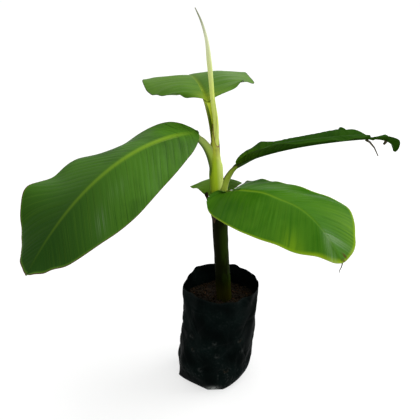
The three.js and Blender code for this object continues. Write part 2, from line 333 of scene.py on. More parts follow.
class Growth(NodeTree):
    """A Geometry Nodes tree with named inputs, run once on a host mesh and kept as a plain mesh."""

    KINDS = {float: "NodeSocketFloat", int: "NodeSocketInt", Material: "NodeSocketMaterial"}

    def __init__(self, name: str, **inputs: float | int | Material) -> None:
        """Starts a tree.

        Args:
            name: The tree's name.
            **inputs: The tree's own sizes, seeds and finish, by name.
        """
        super().__init__(bpy.data.node_groups.new(name, "GeometryNodeTree"))
        sockets = self.tree.interface
        sockets.new_socket("Geometry", in_out="INPUT", socket_type="NodeSocketGeometry")
        self.inputs = {}
        for key, value in inputs.items():
            socket = sockets.new_socket(key, in_out="INPUT", socket_type=self.KINDS[type(value)])
            self.inputs[socket.identifier] = value
        sockets.new_socket("Geometry", in_out="OUTPUT", socket_type="NodeSocketGeometry")
        self.start = self.tree.nodes.new("NodeGroupInput").outputs

    def named(self, name: str) -> Socket:
        """Returns a number that the host carries at its points."""
        return self.get("GeometryNodeInputNamedAttribute", {"Name": name}, data_type="FLOAT")

    def tube(self, path: Socket, ring: dict, **inputs: Socket) -> Socket:
        """Returns a closed tube along a path.

        Args:
            path: The curve that it follows.
            ring: The count of its sides, as Resolution, and its Radius.
            **inputs: Other inputs of the node that makes it.

        Returns:
            The tube.
        """
        profile = self.get("GeometryNodeCurvePrimitiveCircle", ring)
        ends = {"Curve": path, "Profile Curve": profile, "Fill Caps": True}
        return self.get("GeometryNodeCurveToMesh", ends | inputs)

    def strew(self, instance: Socket, turn: Socket, size: Socket) -> Socket:
        """Strews copies over the host's top, as far from its edge as the tree's input Clear says.

        Args:
            instance: What is strewn, as thick as the tree's input Density says.
            turn: How each copy is turned.
            size: How large each copy is.

        Returns:
            The copies.
        """
        inner = {"A": self.named("inner"), "B": self.start["Clear"]}
        inside = self.get("FunctionNodeCompare", inner, operation="GREATER_THAN")
        spread = {"Mesh": self.start["Geometry"], "Selection": inside}
        spread |= {key: self.start[key] for key in ("Density", "Seed")}
        points = self.get("GeometryNodeDistributePointsOnFaces", spread)
        copies = {"Points": points, "Instance": instance, "Rotation": turn, "Scale": size}
        return self.get("GeometryNodeInstanceOnPoints", copies)

    def end(self, geometry: Socket) -> "Growth":
        """Closes the tree: the instances become real faces and take the input Finish.

        Args:
            geometry: What the tree has made.

        Returns:
            The tree.
        """
        real = self.get("GeometryNodeRealizeInstances", {0: geometry})
        dressed = self.get("GeometryNodeSetMaterial", {"Geometry": real, "Material": self.start["Finish"]})
        self.add("NodeGroupOutput", {0: dressed})
        return self

    def run(self, host: Object, name: str) -> Object:
        """Runs the tree on a host and keeps the result.

        Args:
            host: The mesh object that the tree starts from.
            name: The new piece's name.

        Returns:
            A plain mesh object at the origin.
        """
        modifier = host.modifiers.new(self.tree.name, "NODES")
        modifier.node_group = self.tree
        for identifier, value in self.inputs.items():
            modifier[identifier] = value
        graph = bpy.context.evaluated_depsgraph_get()
        mesh = bpy.data.meshes.new_from_object(host.evaluated_get(graph), depsgraph=graph)
        host.modifiers.remove(modifier)
        mesh.name = name
        return link(name, mesh)


def grow_threads(name: str, tree: str, material: Material, lines: list[tuple[Array, Array]]) -> Object:
    """Makes fine round threads by a tree that runs on a host of bare points and edges.

    Args:
        name: The new piece's name.
        tree: The tree's name.
        material: The threads' finish.
        lines: The points of each thread and their radii, in mm.

    Returns:
        The new piece.
    """
    mesh = bpy.data.meshes.new(name + "_host")
    points, thick = (np.concatenate(values) for values in zip(*lines))
    number = np.repeat(np.arange(len(lines)), [len(line) for line, _ in lines])
    first = np.nonzero(number[:-1] == number[1:])[0]
    mesh.from_pydata((points * MM).tolist(), np.stack([first, first + 1], 1).tolist(), [])
    carry(mesh, {"thick": thick})
    host = link(mesh.name, mesh)
    growth = Growth(tree, Sides=THREAD_SIDES, Unit=MM, Finish=material)
    radius = growth.sums("MULTIPLY", growth.named("thick"), growth.start["Unit"])
    path = growth.get("GeometryNodeMeshToCurve", {0: growth.start["Geometry"]})
    tube = growth.tube(path, {"Resolution": growth.start["Sides"], "Radius": 1.0}, Scale=radius)
    piece = growth.end(tube).run(host, name)
    bpy.data.objects.remove(host)
    return piece


@dataclass(frozen=True)
class Crumbs:
    """Dented lumps strewn over the soil: their count in a square metre and their radii in mm."""

    density: float = 110000.0
    sizes: Pair = (0.5, 2.1)
    roundness: int = 2
    dents: Pair = (1.3, 1.0)
    seed: int = 11

    def tree(self, material: Material) -> Growth:
        """Makes the tree that strews them.

        Args:
            material: Their finish.

        Returns:
            The tree.
        """
        low, high = self.sizes
        sizes = {"Clear": high, "Smallest": low * MM, "Greatest": high * MM}
        growth = Growth("crumbs", Density=self.density, **sizes, Seed=self.seed, Finish=material)
        ball = growth.get("GeometryNodeMeshIcoSphere", {"Radius": 1.0, "Subdivisions": self.roundness})
        scale, detail = self.dents
        dents = growth.add("ShaderNodeTexNoise", {"Scale": scale, "Detail": detail}).outputs["Color"]
        half = {0: dents, 1: (0.5, 0.5, 0.5)}
        offset = growth.get("ShaderNodeVectorMath", half, operation="SUBTRACT")
        lump = growth.get("GeometryNodeSetPosition", {"Geometry": ball, "Offset": offset})
        seed = growth.start["Seed"]
        turns = {"Max": (FULL_TURN,) * 3, "Seed": seed}
        turn = growth.get("FunctionNodeRandomValue", turns, data_type="FLOAT_VECTOR")
        radii = {2: growth.start["Smallest"], 3: growth.start["Greatest"], "Seed": seed}
        size = growth.add("FunctionNodeRandomValue", radii, data_type="FLOAT").outputs[1]
        return growth.end(growth.strew(lump, turn, size))


@dataclass(frozen=True)
class Fibres:
    """Bent fibres strewn nearly flat over the soil: length is in mm, bow and radius are shares of it."""

    density: float = 14000.0
    length: float = 6.0
    lengths: Pair = (0.45, 1.6)
    bow: tuple[Place, Place, Place] = ((-0.5, 0.0, 0.0), (0.0, 0.35, 0.12), (0.5, 0.0, 0.04))
    radius: float = 0.045
    tilt: float = 0.25
    sides: int = 5
    steps: int = 8
    seed: int = 5

    def tree(self, material: Material) -> Growth:
        """Makes the tree that strews them.

        Args:
            material: Their finish.

        Returns:
            The tree.
        """
        sizes = {"Clear": self.length, "Length": self.length * MM}
        growth = Growth("fibres", Density=self.density, **sizes, Seed=self.seed, Finish=material)
        bow = dict(zip(("Start", "Middle", "End"), self.bow))
        path = growth.get("GeometryNodeCurveQuadraticBezier", {"Resolution": self.steps} | bow)
        fibre = growth.tube(path, {"Resolution": self.sides, "Radius": self.radius})
        tilt = self.tilt
        turns = {"Min": (-tilt, -tilt, 0.0), "Max": (tilt, tilt, FULL_TURN), "Seed": growth.start["Seed"]}
        turn = growth.get("FunctionNodeRandomValue", turns, data_type="FLOAT_VECTOR")
        shares = dict(zip((2, 3), self.lengths))
        share = growth.add("FunctionNodeRandomValue", shares, data_type="FLOAT").outputs[1]
        size = growth.sums("MULTIPLY", share, growth.start["Length"])
        return growth.end(growth.strew(fibre, turn, size))


# Finishes


class Recipe(NodeTree):
    """A finish's node tree, round a single surface shader."""

    def __init__(self, name: str, colour: Colour) -> None:
        """Starts a material that is painted in one colour.

        Args:
            name: The material's name.
            colour: The colour.
        """
        self.colour = colour
        self.material = bpy.data.materials.new(name)
        self.material.use_nodes = True
        super().__init__(self.material.node_tree)

    def place(self) -> Socket:
        """Returns the place on the object, in metres."""
        return self.add("ShaderNodeTexCoord").outputs["Object"]

    def pattern(self) -> Socket:
        """Returns the coordinate of the mesh's own pattern."""
        return self.get("ShaderNodeUVMap", uv_map="UVMap")

    def part(self, axis: str, where: Socket) -> Socket:
        """Returns one number of a coordinate."""
        return self.add("ShaderNodeSeparateXYZ", {0: where}).outputs[axis]

    def noise(self, where: Socket, scale: float, detail: float, pull: Place | None = None) -> Socket:
        """Makes a soft random value.

        Args:
            where: The coordinate that it follows.
            scale: Its count of hills in each unit.
            detail: How fine its finest part is.
            pull: Shares of that count along each axis, where they differ.

        Returns:
            The value, from 0 to 1.
        """
        if pull:
            where = self.get("ShaderNodeMapping", {"Vector": where, "Scale": pull})
        return self.get("ShaderNodeTexNoise", {"Vector": where, "Scale": scale, "Detail": detail})

    def named(self, name: str) -> Socket:
        """Returns a number that the mesh carries at its points."""
        return self.add("ShaderNodeAttribute", attribute_name=name).outputs["Fac"]

    def times(self, first: object, second: object) -> Socket:
        """Returns the product of two values."""
        return self.sums("MULTIPLY", first, second)

    def plus(self, first: object, second: object) -> Socket:
        """Returns the sum of two values."""
        return self.sums("ADD", first, second)

    def weighed(self, first: Socket, first_share: float, second: Socket, second_share: float) -> Socket:
        """Returns the sum of two values, each times its share."""
        return self.plus(self.times(first, first_share), self.times(second, second_share))

    def between(self, value: object, low: float, high: float) -> Socket:
        """Returns 0 at low and 1 at high, held beyond them."""
        inputs = {"Value": value, "From Min": low, "From Max": high}
        return self.get("ShaderNodeMapRange", inputs, interpolation_type="SMOOTHSTEP")

    def lay(self, share: object, under: object, over: object) -> Socket:
        """Returns one colour laid over another by a share."""
        return self.add("ShaderNodeMix", {0: share, 6: under, 7: over}, data_type="RGBA").outputs[2]

    def over(self, share: object, colour: object) -> None:
        """Lays a colour by a share over what is painted so far."""
        self.colour = self.lay(share, self.colour, colour)

    def bump(self, height: object, depth: float, strength: float) -> Socket:
        """Returns a normal for fine relief of that depth in metres."""
        return self.get("ShaderNodeBump", {"Height": height, "Distance": depth, "Strength": strength})

    def done(self, roughness: object, gloss: float, **others: object) -> Material:
        """Sets the shader's sockets.

        Args:
            roughness: The surface's roughness.
            gloss: The strength of its sheen.
            **others: Values for other sockets, with _ for a space in their names.

        Returns:
            The material.
        """
        inputs = {"Base_Color": self.colour, "Roughness": roughness, "Specular_IOR_Level": gloss}
        for key, value in (inputs | others).items():
            self.put(self.tree.nodes["Principled BSDF"].inputs[key.replace("_", " ")], value)
        return self.material


@dataclass(frozen=True)
class LeafFinish:
    """Waxy leaf with pleats between parallel side veins, a pale midrib and its own margin.

    Attributes:
        deep: Green that the far end takes by the share fade, partly its own deeper green and partly painted
            shade where the blade turns down from the light, and darker places by the share cloud; the
            painted shade in the pleat valleys and the painted shadow marks take it too.
        margin: Colour along the margin, which runs margin_width mm in.
        line: Hair line on the margin itself.
        back: Lower face.
        pleat_line: How dark the painted shade line in each pleat's valley is, 0 to 1.
        streaks: How many soft streaks cross a pleat and 10 mm of a side vein, as for hairs and gaps.
    """

    body: Colour
    deep: Colour
    rib: Colour
    margin: Colour
    line: Colour
    back: Colour
    margin_width: float = 2.0
    fade: float = 0.5
    cloud: float = 1.0
    pleat_line: float = 0.75
    roughness: float = 0.4
    gloss: float = 0.08
    spot: Colour = (0.07, 0.022, 0.006)
    # Whitish grey of scratched wax and of the painted sheen.
    bloom: Colour = (0.3, 0.38, 0.27)
    pale: Colour = (0.2, 0.3, 0.015)
    streaks: Place = (2.6, 0.22, 1.0)
    hairs: Place = (11.0, 0.16, 1.0)
    gaps: Place = (0.9, 0.3, 1.0)
    patches: float = 22.0
    relief: float = 0.0002

    def material(self, name: str) -> Material:
        """Makes the node material.

        Args:
            name: The material's name.

        Returns:
            The material.
        """
        r = Recipe(name, self.body)
        pattern = r.pattern()
        streaks = r.noise(pattern, 1.0, 3.0, self.streaks)
        hairs = r.noise(pattern, 1.0, 2.0, self.hairs)
        gaps = r.noise(pattern, 1.0, 1.0, self.gaps)
        patches = r.noise(r.place(), self.patches, 3.0)
        cloud = r.times(r.between(r.weighed(streaks, 0.45, patches, 0.75), 0.8, 0.38), self.cloud)
        # The far end darkens towards deep: partly the leaf's own colour, partly painted shade where it turns
        # down from the light.
        far = r.times(r.between(r.named("run"), 0.15, 0.85), self.fade)
        r.over(r.sums("MAXIMUM", cloud, far), self.deep)
        # Painted shade: a dark line along each pleat's valley.
        valley = r.between(r.sums("PINGPONG", r.part("X", pattern), 0.5), 0.07, 0.0)
        shown = r.times(r.between(gaps, 0.35, 0.65), self.pleat_line)
        r.over(r.times(valley, shown), self.deep)
        r.over(r.times(r.between(hairs, 0.5, 0.8), 0.1), self.rib)
        edge = r.named("edge")
        r.over(r.between(edge, self.margin_width, 0.2), self.margin)
        r.over(r.between(edge, 0.75, 0.4), self.line)
        r.over(r.named("rib"), self.rib)
        # Painted shadow: marked places take the deep green where other parts shade the blade.
        r.over(r.named(Patch.DEEP.value), self.deep)
        # Grey scratched wax and painted sheen: marked places turn whitish along the hair lines.
        scratches_and_sheen = r.times(r.between(hairs, 0.42, 0.68), 0.55)
        r.over(r.times(r.named(Patch.BLOOM.value), scratches_and_sheen), self.bloom)
        back = r.lay(r.between(patches, 0.35, 0.7), self.back, self.body)
        r.over(r.named("under"), r.lay(0.65, back, self.back))
        lighter = r.times(r.named(Patch.PALE.value), r.between(streaks, 0.25, 0.6))
        r.over(lighter, self.pale)
        dead = r.times(r.named(Patch.SPOT.value), r.between(patches, 0.2, 0.45))
        r.over(dead, self.spot)
        rough = r.plus(r.times(patches, 0.14), self.roughness - 0.07)
        relief = r.weighed(hairs, 0.5, streaks, 0.6)
        return r.done(rough, self.gloss, Normal=r.bump(relief, self.relief, 0.5))


@dataclass(frozen=True)
class LimbFinish:
    """Smooth grooved petiole that runs on as the midrib, with dark wing margins."""

    foot: Colour
    body: Colour
    wing: Colour
    shaded: Colour = (0.04, 0.085, 0.002)
    back: Colour = (0.13, 0.2, 0.03)
    fibres: Place = (26.0, 1.2, 1.0)
    patches: float = 60.0
    relief: float = 0.0002
    gloss: float = 0.06

    def material(self, name: str) -> Material:
        """Makes the node material.

        Args:
            name: The material's name.

        Returns:
            The material.
        """
        r = Recipe(name, self.foot)
        run = r.named("run")
        fibres = r.noise(r.pattern(), 1.0, 3.0, self.fibres)
        patches = r.noise(r.place(), self.patches, 3.0)
        r.over(r.between(run, 0.1, 0.9), self.body)
        r.over(r.between(r.named("shade"), 0.32, 0.78), self.shaded)
        r.over(r.between(run, 0.93, 1.01), self.back)
        dull = r.lay(0.5, r.colour, self.wing)
        r.over(r.times(r.between(fibres, 0.55, 0.8), 0.3), dull)
        r.over(r.times(r.between(patches, 0.5, 0.75), 0.25), dull)
        r.over(r.named("wing"), self.wing)
        rough = r.plus(r.times(patches, 0.15), 0.34)
        return r.done(rough, self.gloss, Normal=r.bump(fibres, self.relief, 0.4))


@dataclass(frozen=True)
class StemFinish:
    """Waxy sheaths, yellow-green above and nearly black low down, with dry margins; heights are in mm. Round
    the stem the colour is painted light on the side that faces the lamp and dark on the far side, which is
    painted light and shade; the near-black foot is partly the sheaths' own dark colour and partly painted
    shade under the leaves.
    """

    # top, middle and green run from the side that faces the lamp round to the far side: painted light and
    # shade, partly the darker older sheath on the left.
    top: Colour = (0.56, 0.67, 0.17)
    middle: Colour = (0.37, 0.52, 0.02)
    green: Colour = (0.1, 0.17, 0.004)
    fork: Colour = (0.4, 0.38, 0.06)
    # foot is near black: partly the sheaths' own dark colour, partly painted shade under the leaves.
    foot: Colour = (0.0035, 0.0045, 0.0004)
    # streak is the green of the lower stem, laid on the side that faces the lamp: partly painted light.
    streak: Colour = (0.016, 0.034, 0.0015)
    soiled: Colour = (0.022, 0.021, 0.001)
    margin: Colour = (0.2, 0.085, 0.05)
    change: Pair = (232.0, 272.0)
    forking: Pair = (300.0, 318.0)
    soiling: Pair = (150.0, 118.0)
    fibres: float = 420.0
    blotches: float = 95.0
    waver: float = 0.03
    relief: float = 0.0002
    gloss: float = 0.015

    def material(self) -> Material:
        """Makes the node material.

        Returns:
            The material.
        """
        r = Recipe("sheath_skin", self.foot)
        place = r.place()
        shade = r.named("shade")
        height = r.times(r.part("Z", place), 1 / MM)
        fibres = r.noise(place, self.fibres, 3.0, (1.0, 1.0, 0.05))
        blotches = r.noise(place, self.blotches, 3.0, (1.0, 1.0, 0.3))
        # Painted light: green streaks on the lower stem show only on its side towards the lamp.
        lit = r.times(r.between(shade, 0.5, 0.12), 0.7)
        r.over(r.times(r.between(blotches, 0.3, 0.6), lit), self.streak)
        r.over(r.between(height, *self.soiling), self.soiled)
        # Painted light and shade: top on the lamp's side, middle in front, green on the far side.
        fresh = r.lay(r.between(shade, 0.03, 0.35), self.top, self.middle)
        fresh = r.lay(r.between(shade, 0.36, 0.88), fresh, self.green)
        fresh = r.lay(r.times(r.between(height, *self.forking), 0.6), fresh, self.fork)
        streaked = r.lay(0.5, fresh, self.streak)
        young = r.lay(r.times(r.between(fibres, 0.45, 0.8), 0.3), fresh, streaked)
        wavering = r.plus(height, r.times(r.sums("SUBTRACT", blotches, 0.5), self.waver / MM))
        # Below the change heights the stem turns to the near-black foot, which is partly painted shade under
        # the leaves.
        r.over(r.between(wavering, *self.change), young)
        r.over(r.times(r.between(fibres, 0.6, 0.85), 0.15), self.foot)
        dry = r.times(r.named("margin"), r.between(blotches, 0.15, 0.4))
        r.over(r.times(dry, 0.85), self.margin)
        rough = r.plus(r.times(blotches, 0.2), 0.45)
        return r.done(rough, self.gloss, Normal=r.bump(fibres, self.relief, 0.4))


@dataclass(frozen=True)
class SpearFinish:
    """Rolled young leaf, cream above and greener below, with fine stripes along it and a darker tip."""

    low: Colour = (0.6, 0.69, 0.14)
    high: Colour = (0.66, 0.7, 0.46)
    tip: Colour = (0.18, 0.2, 0.11)
    stripe: Colour = (0.26, 0.36, 0.05)
    stripes: Place = (30.0, 0.9, 1.0)
    relief: float = 0.0002
    gloss: float = 0.2

    def material(self) -> Material:
        """Makes the node material.

        Returns:
            The material.
        """
        r = Recipe("rolled_leaf", self.low)
        run = r.named("run")
        stripes = r.noise(r.pattern(), 1.0, 2.0, self.stripes)
        r.over(r.between(run, 0.42, 0.9), self.high)
        r.over(r.between(run, 0.8, 1.0), self.tip)
        green = r.times(r.between(stripes, 0.48, 0.75), r.between(run, 0.95, 0.1))
        r.over(r.times(green, 0.6), self.stripe)
        # The roll's outer margin takes the stripe green, partly as painted shade where the margin steps over
        # the roll.
        r.over(r.times(r.named("wing"), 0.6), self.stripe)
        rough = r.plus(r.times(stripes, 0.15), 0.38)
        return r.done(rough, self.gloss, Normal=r.bump(stripes, self.relief, 0.5))


@dataclass(frozen=True)
class DryFinish:
    """Dead leaf tissue, papery and brown, with fibres along it."""

    pale: Colour = (0.09, 0.05, 0.025)
    dark: Colour = (0.012, 0.008, 0.005)
    fibres: float = 700.0
    relief: float = 0.0003
    roughness: float = 0.85
    gloss: float = 0.15

    def material(self, name: str) -> Material:
        """Makes the node material.

        Args:
            name: The material's name.

        Returns:
            The material.
        """
        r = Recipe(name, self.dark)
        fibres = r.noise(r.place(), self.fibres, 4.0, (1.0, 1.0, 0.15))
        r.over(r.between(fibres, 0.4, 0.75), self.pale)
        return r.done(self.roughness, self.gloss, Normal=r.bump(fibres, self.relief, 0.8))


@dataclass(frozen=True)
class FilmFinish:
    """Thin black film, half glossy on its creases, dusted with dry soil low down and round its holes, with a
    dusty painted glint on the fold under the front.
    """

    film: Colour = (0.0008, 0.0018, 0.0016)
    worn: Colour = (0.0026, 0.0056, 0.005)
    dust: Colour = (0.075, 0.083, 0.078)
    clay: Colour = (0.05, 0.03, 0.015)
    # Grey of the fold under the front: dust and a painted glint.
    scuff: Colour = (0.2, 0.21, 0.2)
    dusted: Pair = (60.0, 0.0)
    clouds: float = 30.0
    specks: float = 330.0
    drawn: float = 260.0
    relief: float = 0.0003
    gloss: float = 0.006

    def material(self) -> Material:
        """Makes the node material.

        Returns:
            The material.
        """
        r = Recipe("black_film", self.film)
        place = r.place()
        clouds = r.noise(place, self.clouds, 4.0)
        specks = r.noise(place, self.specks, 3.0)
        drawn = r.noise(place, self.drawn, 2.0, (1.0, 1.0, 0.12))
        r.over(r.between(clouds, 0.35, 0.75), self.worn)
        low = r.between(r.times(r.part("Z", place), 1 / MM), *self.dusted)
        grime = r.times(r.between(specks, 0.52, 0.78), r.between(clouds, 0.42, 0.7))
        dusty = r.times(grime, r.plus(r.times(low, 0.4), 0.12))
        r.over(dusty, self.dust)
        r.over(r.times(r.named("ridge"), 0.03), self.dust)
        hole = r.times(r.named("hole"), r.between(specks, 0.3, 0.6))
        grit = r.lay(r.between(clouds, 0.56, 0.64), self.dust, self.clay)
        r.over(r.times(hole, 0.3), grit)
        # Painted highlight: the fold under the front takes a dusty grey glint.
        scuffed = r.times(r.named("scuff"), r.between(specks, 0.25, 0.5))
        r.over(scuffed, self.scuff)
        rough = r.plus(r.weighed(clouds, 0.3, dusty, 0.4), 0.34)
        return r.done(rough, self.gloss, Normal=r.bump(r.weighed(drawn, 0.5, specks, 0.5), self.relief, 0.5))


@dataclass(frozen=True)
class SoilFinish:
    """Damp crumbly potting soil, or the lighter bits in it."""

    dark: Colour = (0.005, 0.0028, 0.0008)
    light: Colour = (0.019, 0.009, 0.002)
    grains: float = 900.0
    clods: float = 120.0
    relief: float = 0.0006
    roughness: float = 0.92
    gloss: float = 0.15

    def material(self, name: str) -> Material:
        """Makes the node material.

        Args:
            name: The material's name.

        Returns:
            The material.
        """
        r = Recipe(name, self.dark)
        place = r.place()
        grains = r.noise(place, self.grains, 4.0)
        both = r.weighed(grains, 0.5, r.noise(place, self.clods, 3.0), 0.5)
        r.over(r.between(both, 0.42, 0.66), self.light)
        return r.done(self.roughness, self.gloss, Normal=r.bump(grains, self.relief, 0.8))


# The leaves, by the rule that their solids follow


@dataclass(frozen=True)
class Wave:
    """A wave of a margin: its height in mm, its count along the leaf and its phase."""

    height: float = 0.0
    count: float = 1.0
    phase: float = 0.0

    def rise(self, x: Array) -> Array:
        """Returns the wave's height at shares of the leaf's length."""
        return self.height * np.sin(FULL_TURN * self.count * x + self.phase)


@dataclass(frozen=True)
class Swell:
    """A place where a margin leaves its even line: shares along the leaf, then how far out and up in mm."""

    at: float
    length: float
    out: float = 0.0
    up: float = 0.0

    def share(self, x: Array) -> Array:
        """Returns how much of the swell is at shares of the length, 0 to 1."""
        return bell(x - self.at, self.length)


def raised(swells: tuple[Swell, ...], x: Array) -> Array:
    """Returns how far swells raise what lies at shares of the length."""
    return sum((swell.up * swell.share(x) for swell in swells), np.zeros_like(x))


@dataclass(frozen=True)
class HalfBlade:
    """One half of a blade.

    Attributes:
        fold: Degrees that it drops at the midrib, at the base and at the tip.
        curl: Degrees that it bends on by to its margin.
        widest: Share of the length where it is widest.
        point: How blunt its far end is.
        share: Its width over the leaf's half width.
        wave: Long wave of the margin.
        flutter: Second wave of the margin.
        swells: Places where the margin leaves that line.
        start: How far along the midrib it begins, in mm.
        rounding: Length of the round corner at its base, in mm.
        corner: How late the corner opens: 1 is round, more runs out along the petiole first.
        lobe_lift: How far its lobe stands up at the base, in mm.
        lobe: How far its round lobe reaches back past the blade's base, in mm.
        back: How far its base corner slants back, in mm.
    """

    fold: Pair = (12.0, 12.0)
    curl: float = 20.0
    widest: float = 0.5
    point: float = 2.0
    share: float = 1.0
    wave: Wave = Wave()
    flutter: Wave = Wave()
    swells: tuple[Swell, ...] = ()
    start: float = 0.0
    rounding: float = 8.0
    corner: float = 1.0
    lobe_lift: float = 0.0
    lobe: float = 0.0
    back: float = 0.0

    def outline(self, t: Array, foot: float, heel: float) -> Array:
        """Works out the width as two superellipse quarters that meet at the widest point.

        Args:
            t: Shares of the length.
            foot: The width at the base, over the greatest.
            heel: How blunt the base is.

        Returns:
            The width over its greatest.
        """
        rising = foot + (1 - foot) * (1 - np.clip(1 - t / self.widest, 0, 1) ** heel) ** (1 / heel)
        beyond = np.clip((t - self.widest) / (1 - self.widest), 0, 1)
        falling = (1 - beyond**self.point) ** (1 / self.point)
        return np.where(t < self.widest, rising, falling)

    def rounded(self, distance: Array) -> Array:
        """Returns how far the corner at its base has opened, 0 to 1, at distances along the midrib in mm."""
        grown = np.clip((distance - self.start) / self.rounding, 0, 1)
        return np.sqrt(1 - (1 - grown) ** 2)


@dataclass(frozen=True)
class Petiole:
    """The limb between stem and blade.

    Attributes:
        leaves: Height where it leaves the stem.
        lift: How far it runs up before it bends.
        ease: How far it runs along the midrib's line before the blade.
        half: Half widths at the stem and at the blade.
        depth: Depths at the stem and at the blade.
        sunk: How far it ends under the blade's base.
        groove: Depth of its groove over its own depth.
        roll: Degrees that its middle turns its groove to the left.
        narrow: Share of its width that its very foot has.
        lean: How far its rise leans over, along X and Y.
    """

    leaves: float
    lift: float
    ease: float
    half: Pair
    depth: Pair
    sunk: float = 0.0
    groove: float = 0.45
    roll: float = 0.0
    narrow: float = 1.0
    lean: Pair = (0.0, 0.0)


@dataclass(frozen=True)
class Neck:
    """A place where a blade is drawn in: shares of its length and of its width."""

    at: float
    depth: float
    length: float


@dataclass(frozen=True)
class Mark:
    """A patch on the upper face: shares along the leaf and out to the left, its radii in mm and strength."""

    kind: Patch
    along: float
    out: float
    size: Pair
    strength: float = 1.0


@dataclass(frozen=True)
class Strand:
    """A torn dry strip that hangs from the midrib: the places along it and its end radii are in mm."""

    along: float
    path: tuple[Place, ...]
    thick: Pair


@dataclass(frozen=True)
class Midrib:
    """Places and directions along a midrib, at shares of its length."""

    x: Array
    place: Array
    along: Array
    left: Array
    up: Array
    length: float

    def at(self, x: Array) -> tuple[Array, Array, Array]:
        """Reads the midrib, carried on straight behind the base.

        Args:
            x: Shares of the length.

        Returns:
            Place, left and up at each.
        """
        inside = np.clip(x, 0, 1)

        def read(values: Array) -> Array:
            """Returns the values between the midrib's own steps."""
            return np.stack([np.interp(inside, self.x, values[:, k]) for k in range(3)], -1)

        behind = np.minimum(x, 0)[..., None] * self.length * self.along[0]
        return read(self.place) + behind, read(self.left), read(self.up)


@dataclass(frozen=True)
class BladeGrid:
    """Points over a blade from margin to margin, and what its finish and its veins need at each."""

    points: Array
    normal: Array
    root: Array
    share: Array
    out: Array
    edge: Array
    pleat: Array


@dataclass(frozen=True)
class LeafStyle:
    """Sizes in mm that all leaves share."""

    steps: int = 400
    tip_half: float = 1.2
    hook_power: float = 14.0
    vein_curve: float = 1.15
    lobe_curve: float = 0.35
    lobe_end: int = 4
    back_end: int = 8
    lobe_rise: float = 0.9
    lobe_fade: float = 0.05
    swell_curve: float = 3.0
    thick: float = 0.5
    thinned: float = 0.4
    row: float = 1.15
    row_crowding: float = 1.3
    bare_base: Pair = (20.0, 3.0)
    columns: int = 34
    column_crowding: float = 1.6
    pleat: float = 8.0
    pleat_height: float = 0.3
    pleat_shift: float = 0.37
    pleat_wander: tuple[float, float, float] = (0.35, 14.0, 1.0)
    pleat_puff: Pair = (0.7, 0.6)
    pleat_strength: Unevenness = Unevenness(31, 34.0, 0.4)
    margin_ripple: Unevenness = Unevenness(33, 26.0, 1.0)
    margin_power: int = 6
    dents: Unevenness = Unevenness(35, 46.0, 0.35)
    channel: Pair = (1.3, 0.2)
    vein: float = 0.26
    vein_taper: float = 0.7
    strand_rows: int = 24
    clear: float = 0.7
    limb_rows: int = 60
    limb_sides: int = 17
    limb_foot: float = 0.6
    lip: float = 0.3
    lip_inset: float = 0.82
    lip_colour: float = 0.22
    rib_rows: int = 90
    rib_span: Pair = (0.012, 0.97)
    rib_joint: float = 0.12
    rib_share: float = 0.9
    rib_gap: float = 0.5
    rib_groove: float = 0.6
    light: Place = (0.75, -0.25, 0.6)


STYLE = LeafStyle()


@dataclass(frozen=True)
class Spear:
    """The newest leaf, still rolled up."""

    axis: tuple[Place, ...] = (
        (0.8, -1.0, 308.0),
        (0.6, -0.5, 352.0),
        (-2.7, 0.0, 376.0),
        (-6.4, 0.0, 418.0),
        (-10.2, 0.0, 446.0),
        (-15.6, 0.0, 463.0),
        (-21.5, 0.0, 475.5),
    )
    foot_radius: float = 3.45
    tip_radius: float = 0.5
    taper: float = 3.2
    overlap: float = 0.17
    waist: tuple[float, float, float] = (0.42, 0.12, -0.5)
    belly: tuple[float, float, float] = (0.66, 0.1, 0.4)
    turns: float = 0.9
    margin_turn: float = 3.6
    margin_half: float = 0.03
    ribs: tuple[float, float, float] = (0.02, 9.0, 14.0)
    rows: int = 220
    sides: int = 48

    def middle(self, z: Array) -> Array:
        """Draws the axis, a smooth curve through its points.

        Args:
            z: Heights.

        Returns:
            The axis at each height.
        """
        knots = np.array(self.axis)
        pace = np.gradient(knots[:, :2], knots[:, 2], axis=0)
        k = np.clip(np.searchsorted(knots[:, 2], z) - 1, 0, len(knots) - 2)
        span = knots[k + 1, 2] - knots[k, 2]
        t = ((z - knots[k, 2]) / span)[:, None]
        span = span[:, None]
        ends = (1 + 2 * t) * (1 - t) ** 2 * knots[k, :2] + t**2 * (3 - 2 * t) * knots[k + 1, :2]
        bends = t * (1 - t) ** 2 * span * pace[k] + t**2 * (t - 1) * span * pace[k + 1]
        return np.concatenate([ends + bends, z[:, None]], 1)

    def radius(self, t: Array) -> Array:
        """Returns the roll's outer radius at shares of its height."""
        even = mix(self.foot_radius, self.tip_radius, np.clip(t, 0, 1) ** self.taper)
        return even + sum(size * bell(t - at, length) for at, length, size in (self.waist, self.belly))

    def radius_at(self, z: Array) -> Array:
        """Returns the same radius at heights."""
        foot, tip = self.axis[0][2], self.axis[-1][2]
        return self.radius((z - foot) / (tip - foot))

    def build(self, finish: SpearFinish) -> Object:
        """Makes the roll, with its outer margin winding up it.

        Args:
            finish: The roll's finish.

        Returns:
            The piece.
        """
        t = np.linspace(0, 1, self.rows)
        middle = self.middle(mix(self.axis[0][2], self.axis[-1][2], t))
        along = unit(np.gradient(middle, axis=0))
        across = unit(np.cross(np.array([0.0, 1.0, 0.0]), along))
        back = np.cross(along, across)
        share = (np.arange(self.sides) / self.sides)[None, :]
        t = t[:, None]
        angle = self.margin_turn + FULL_TURN * (share + self.turns * t)
        size, count, winding = self.ribs
        radius = self.radius(t) * (1 - self.overlap * share)
        radius = radius * (1 + size * np.sin(count * angle + winding * t))
        rings = middle[:, None] + (radius * np.cos(angle))[..., None] * across[:, None]
        rings = rings + (radius * np.sin(angle))[..., None] * back[:, None]
        run, share = np.broadcast_arrays(t, share)
        return make_piece(
            "spear_roll",
            closed_tube(rings),
            finish.material(),
            uv=(share, run * 10),
            run=run,
            wing=bell(np.minimum(share, 1 - share), self.margin_half),
        )


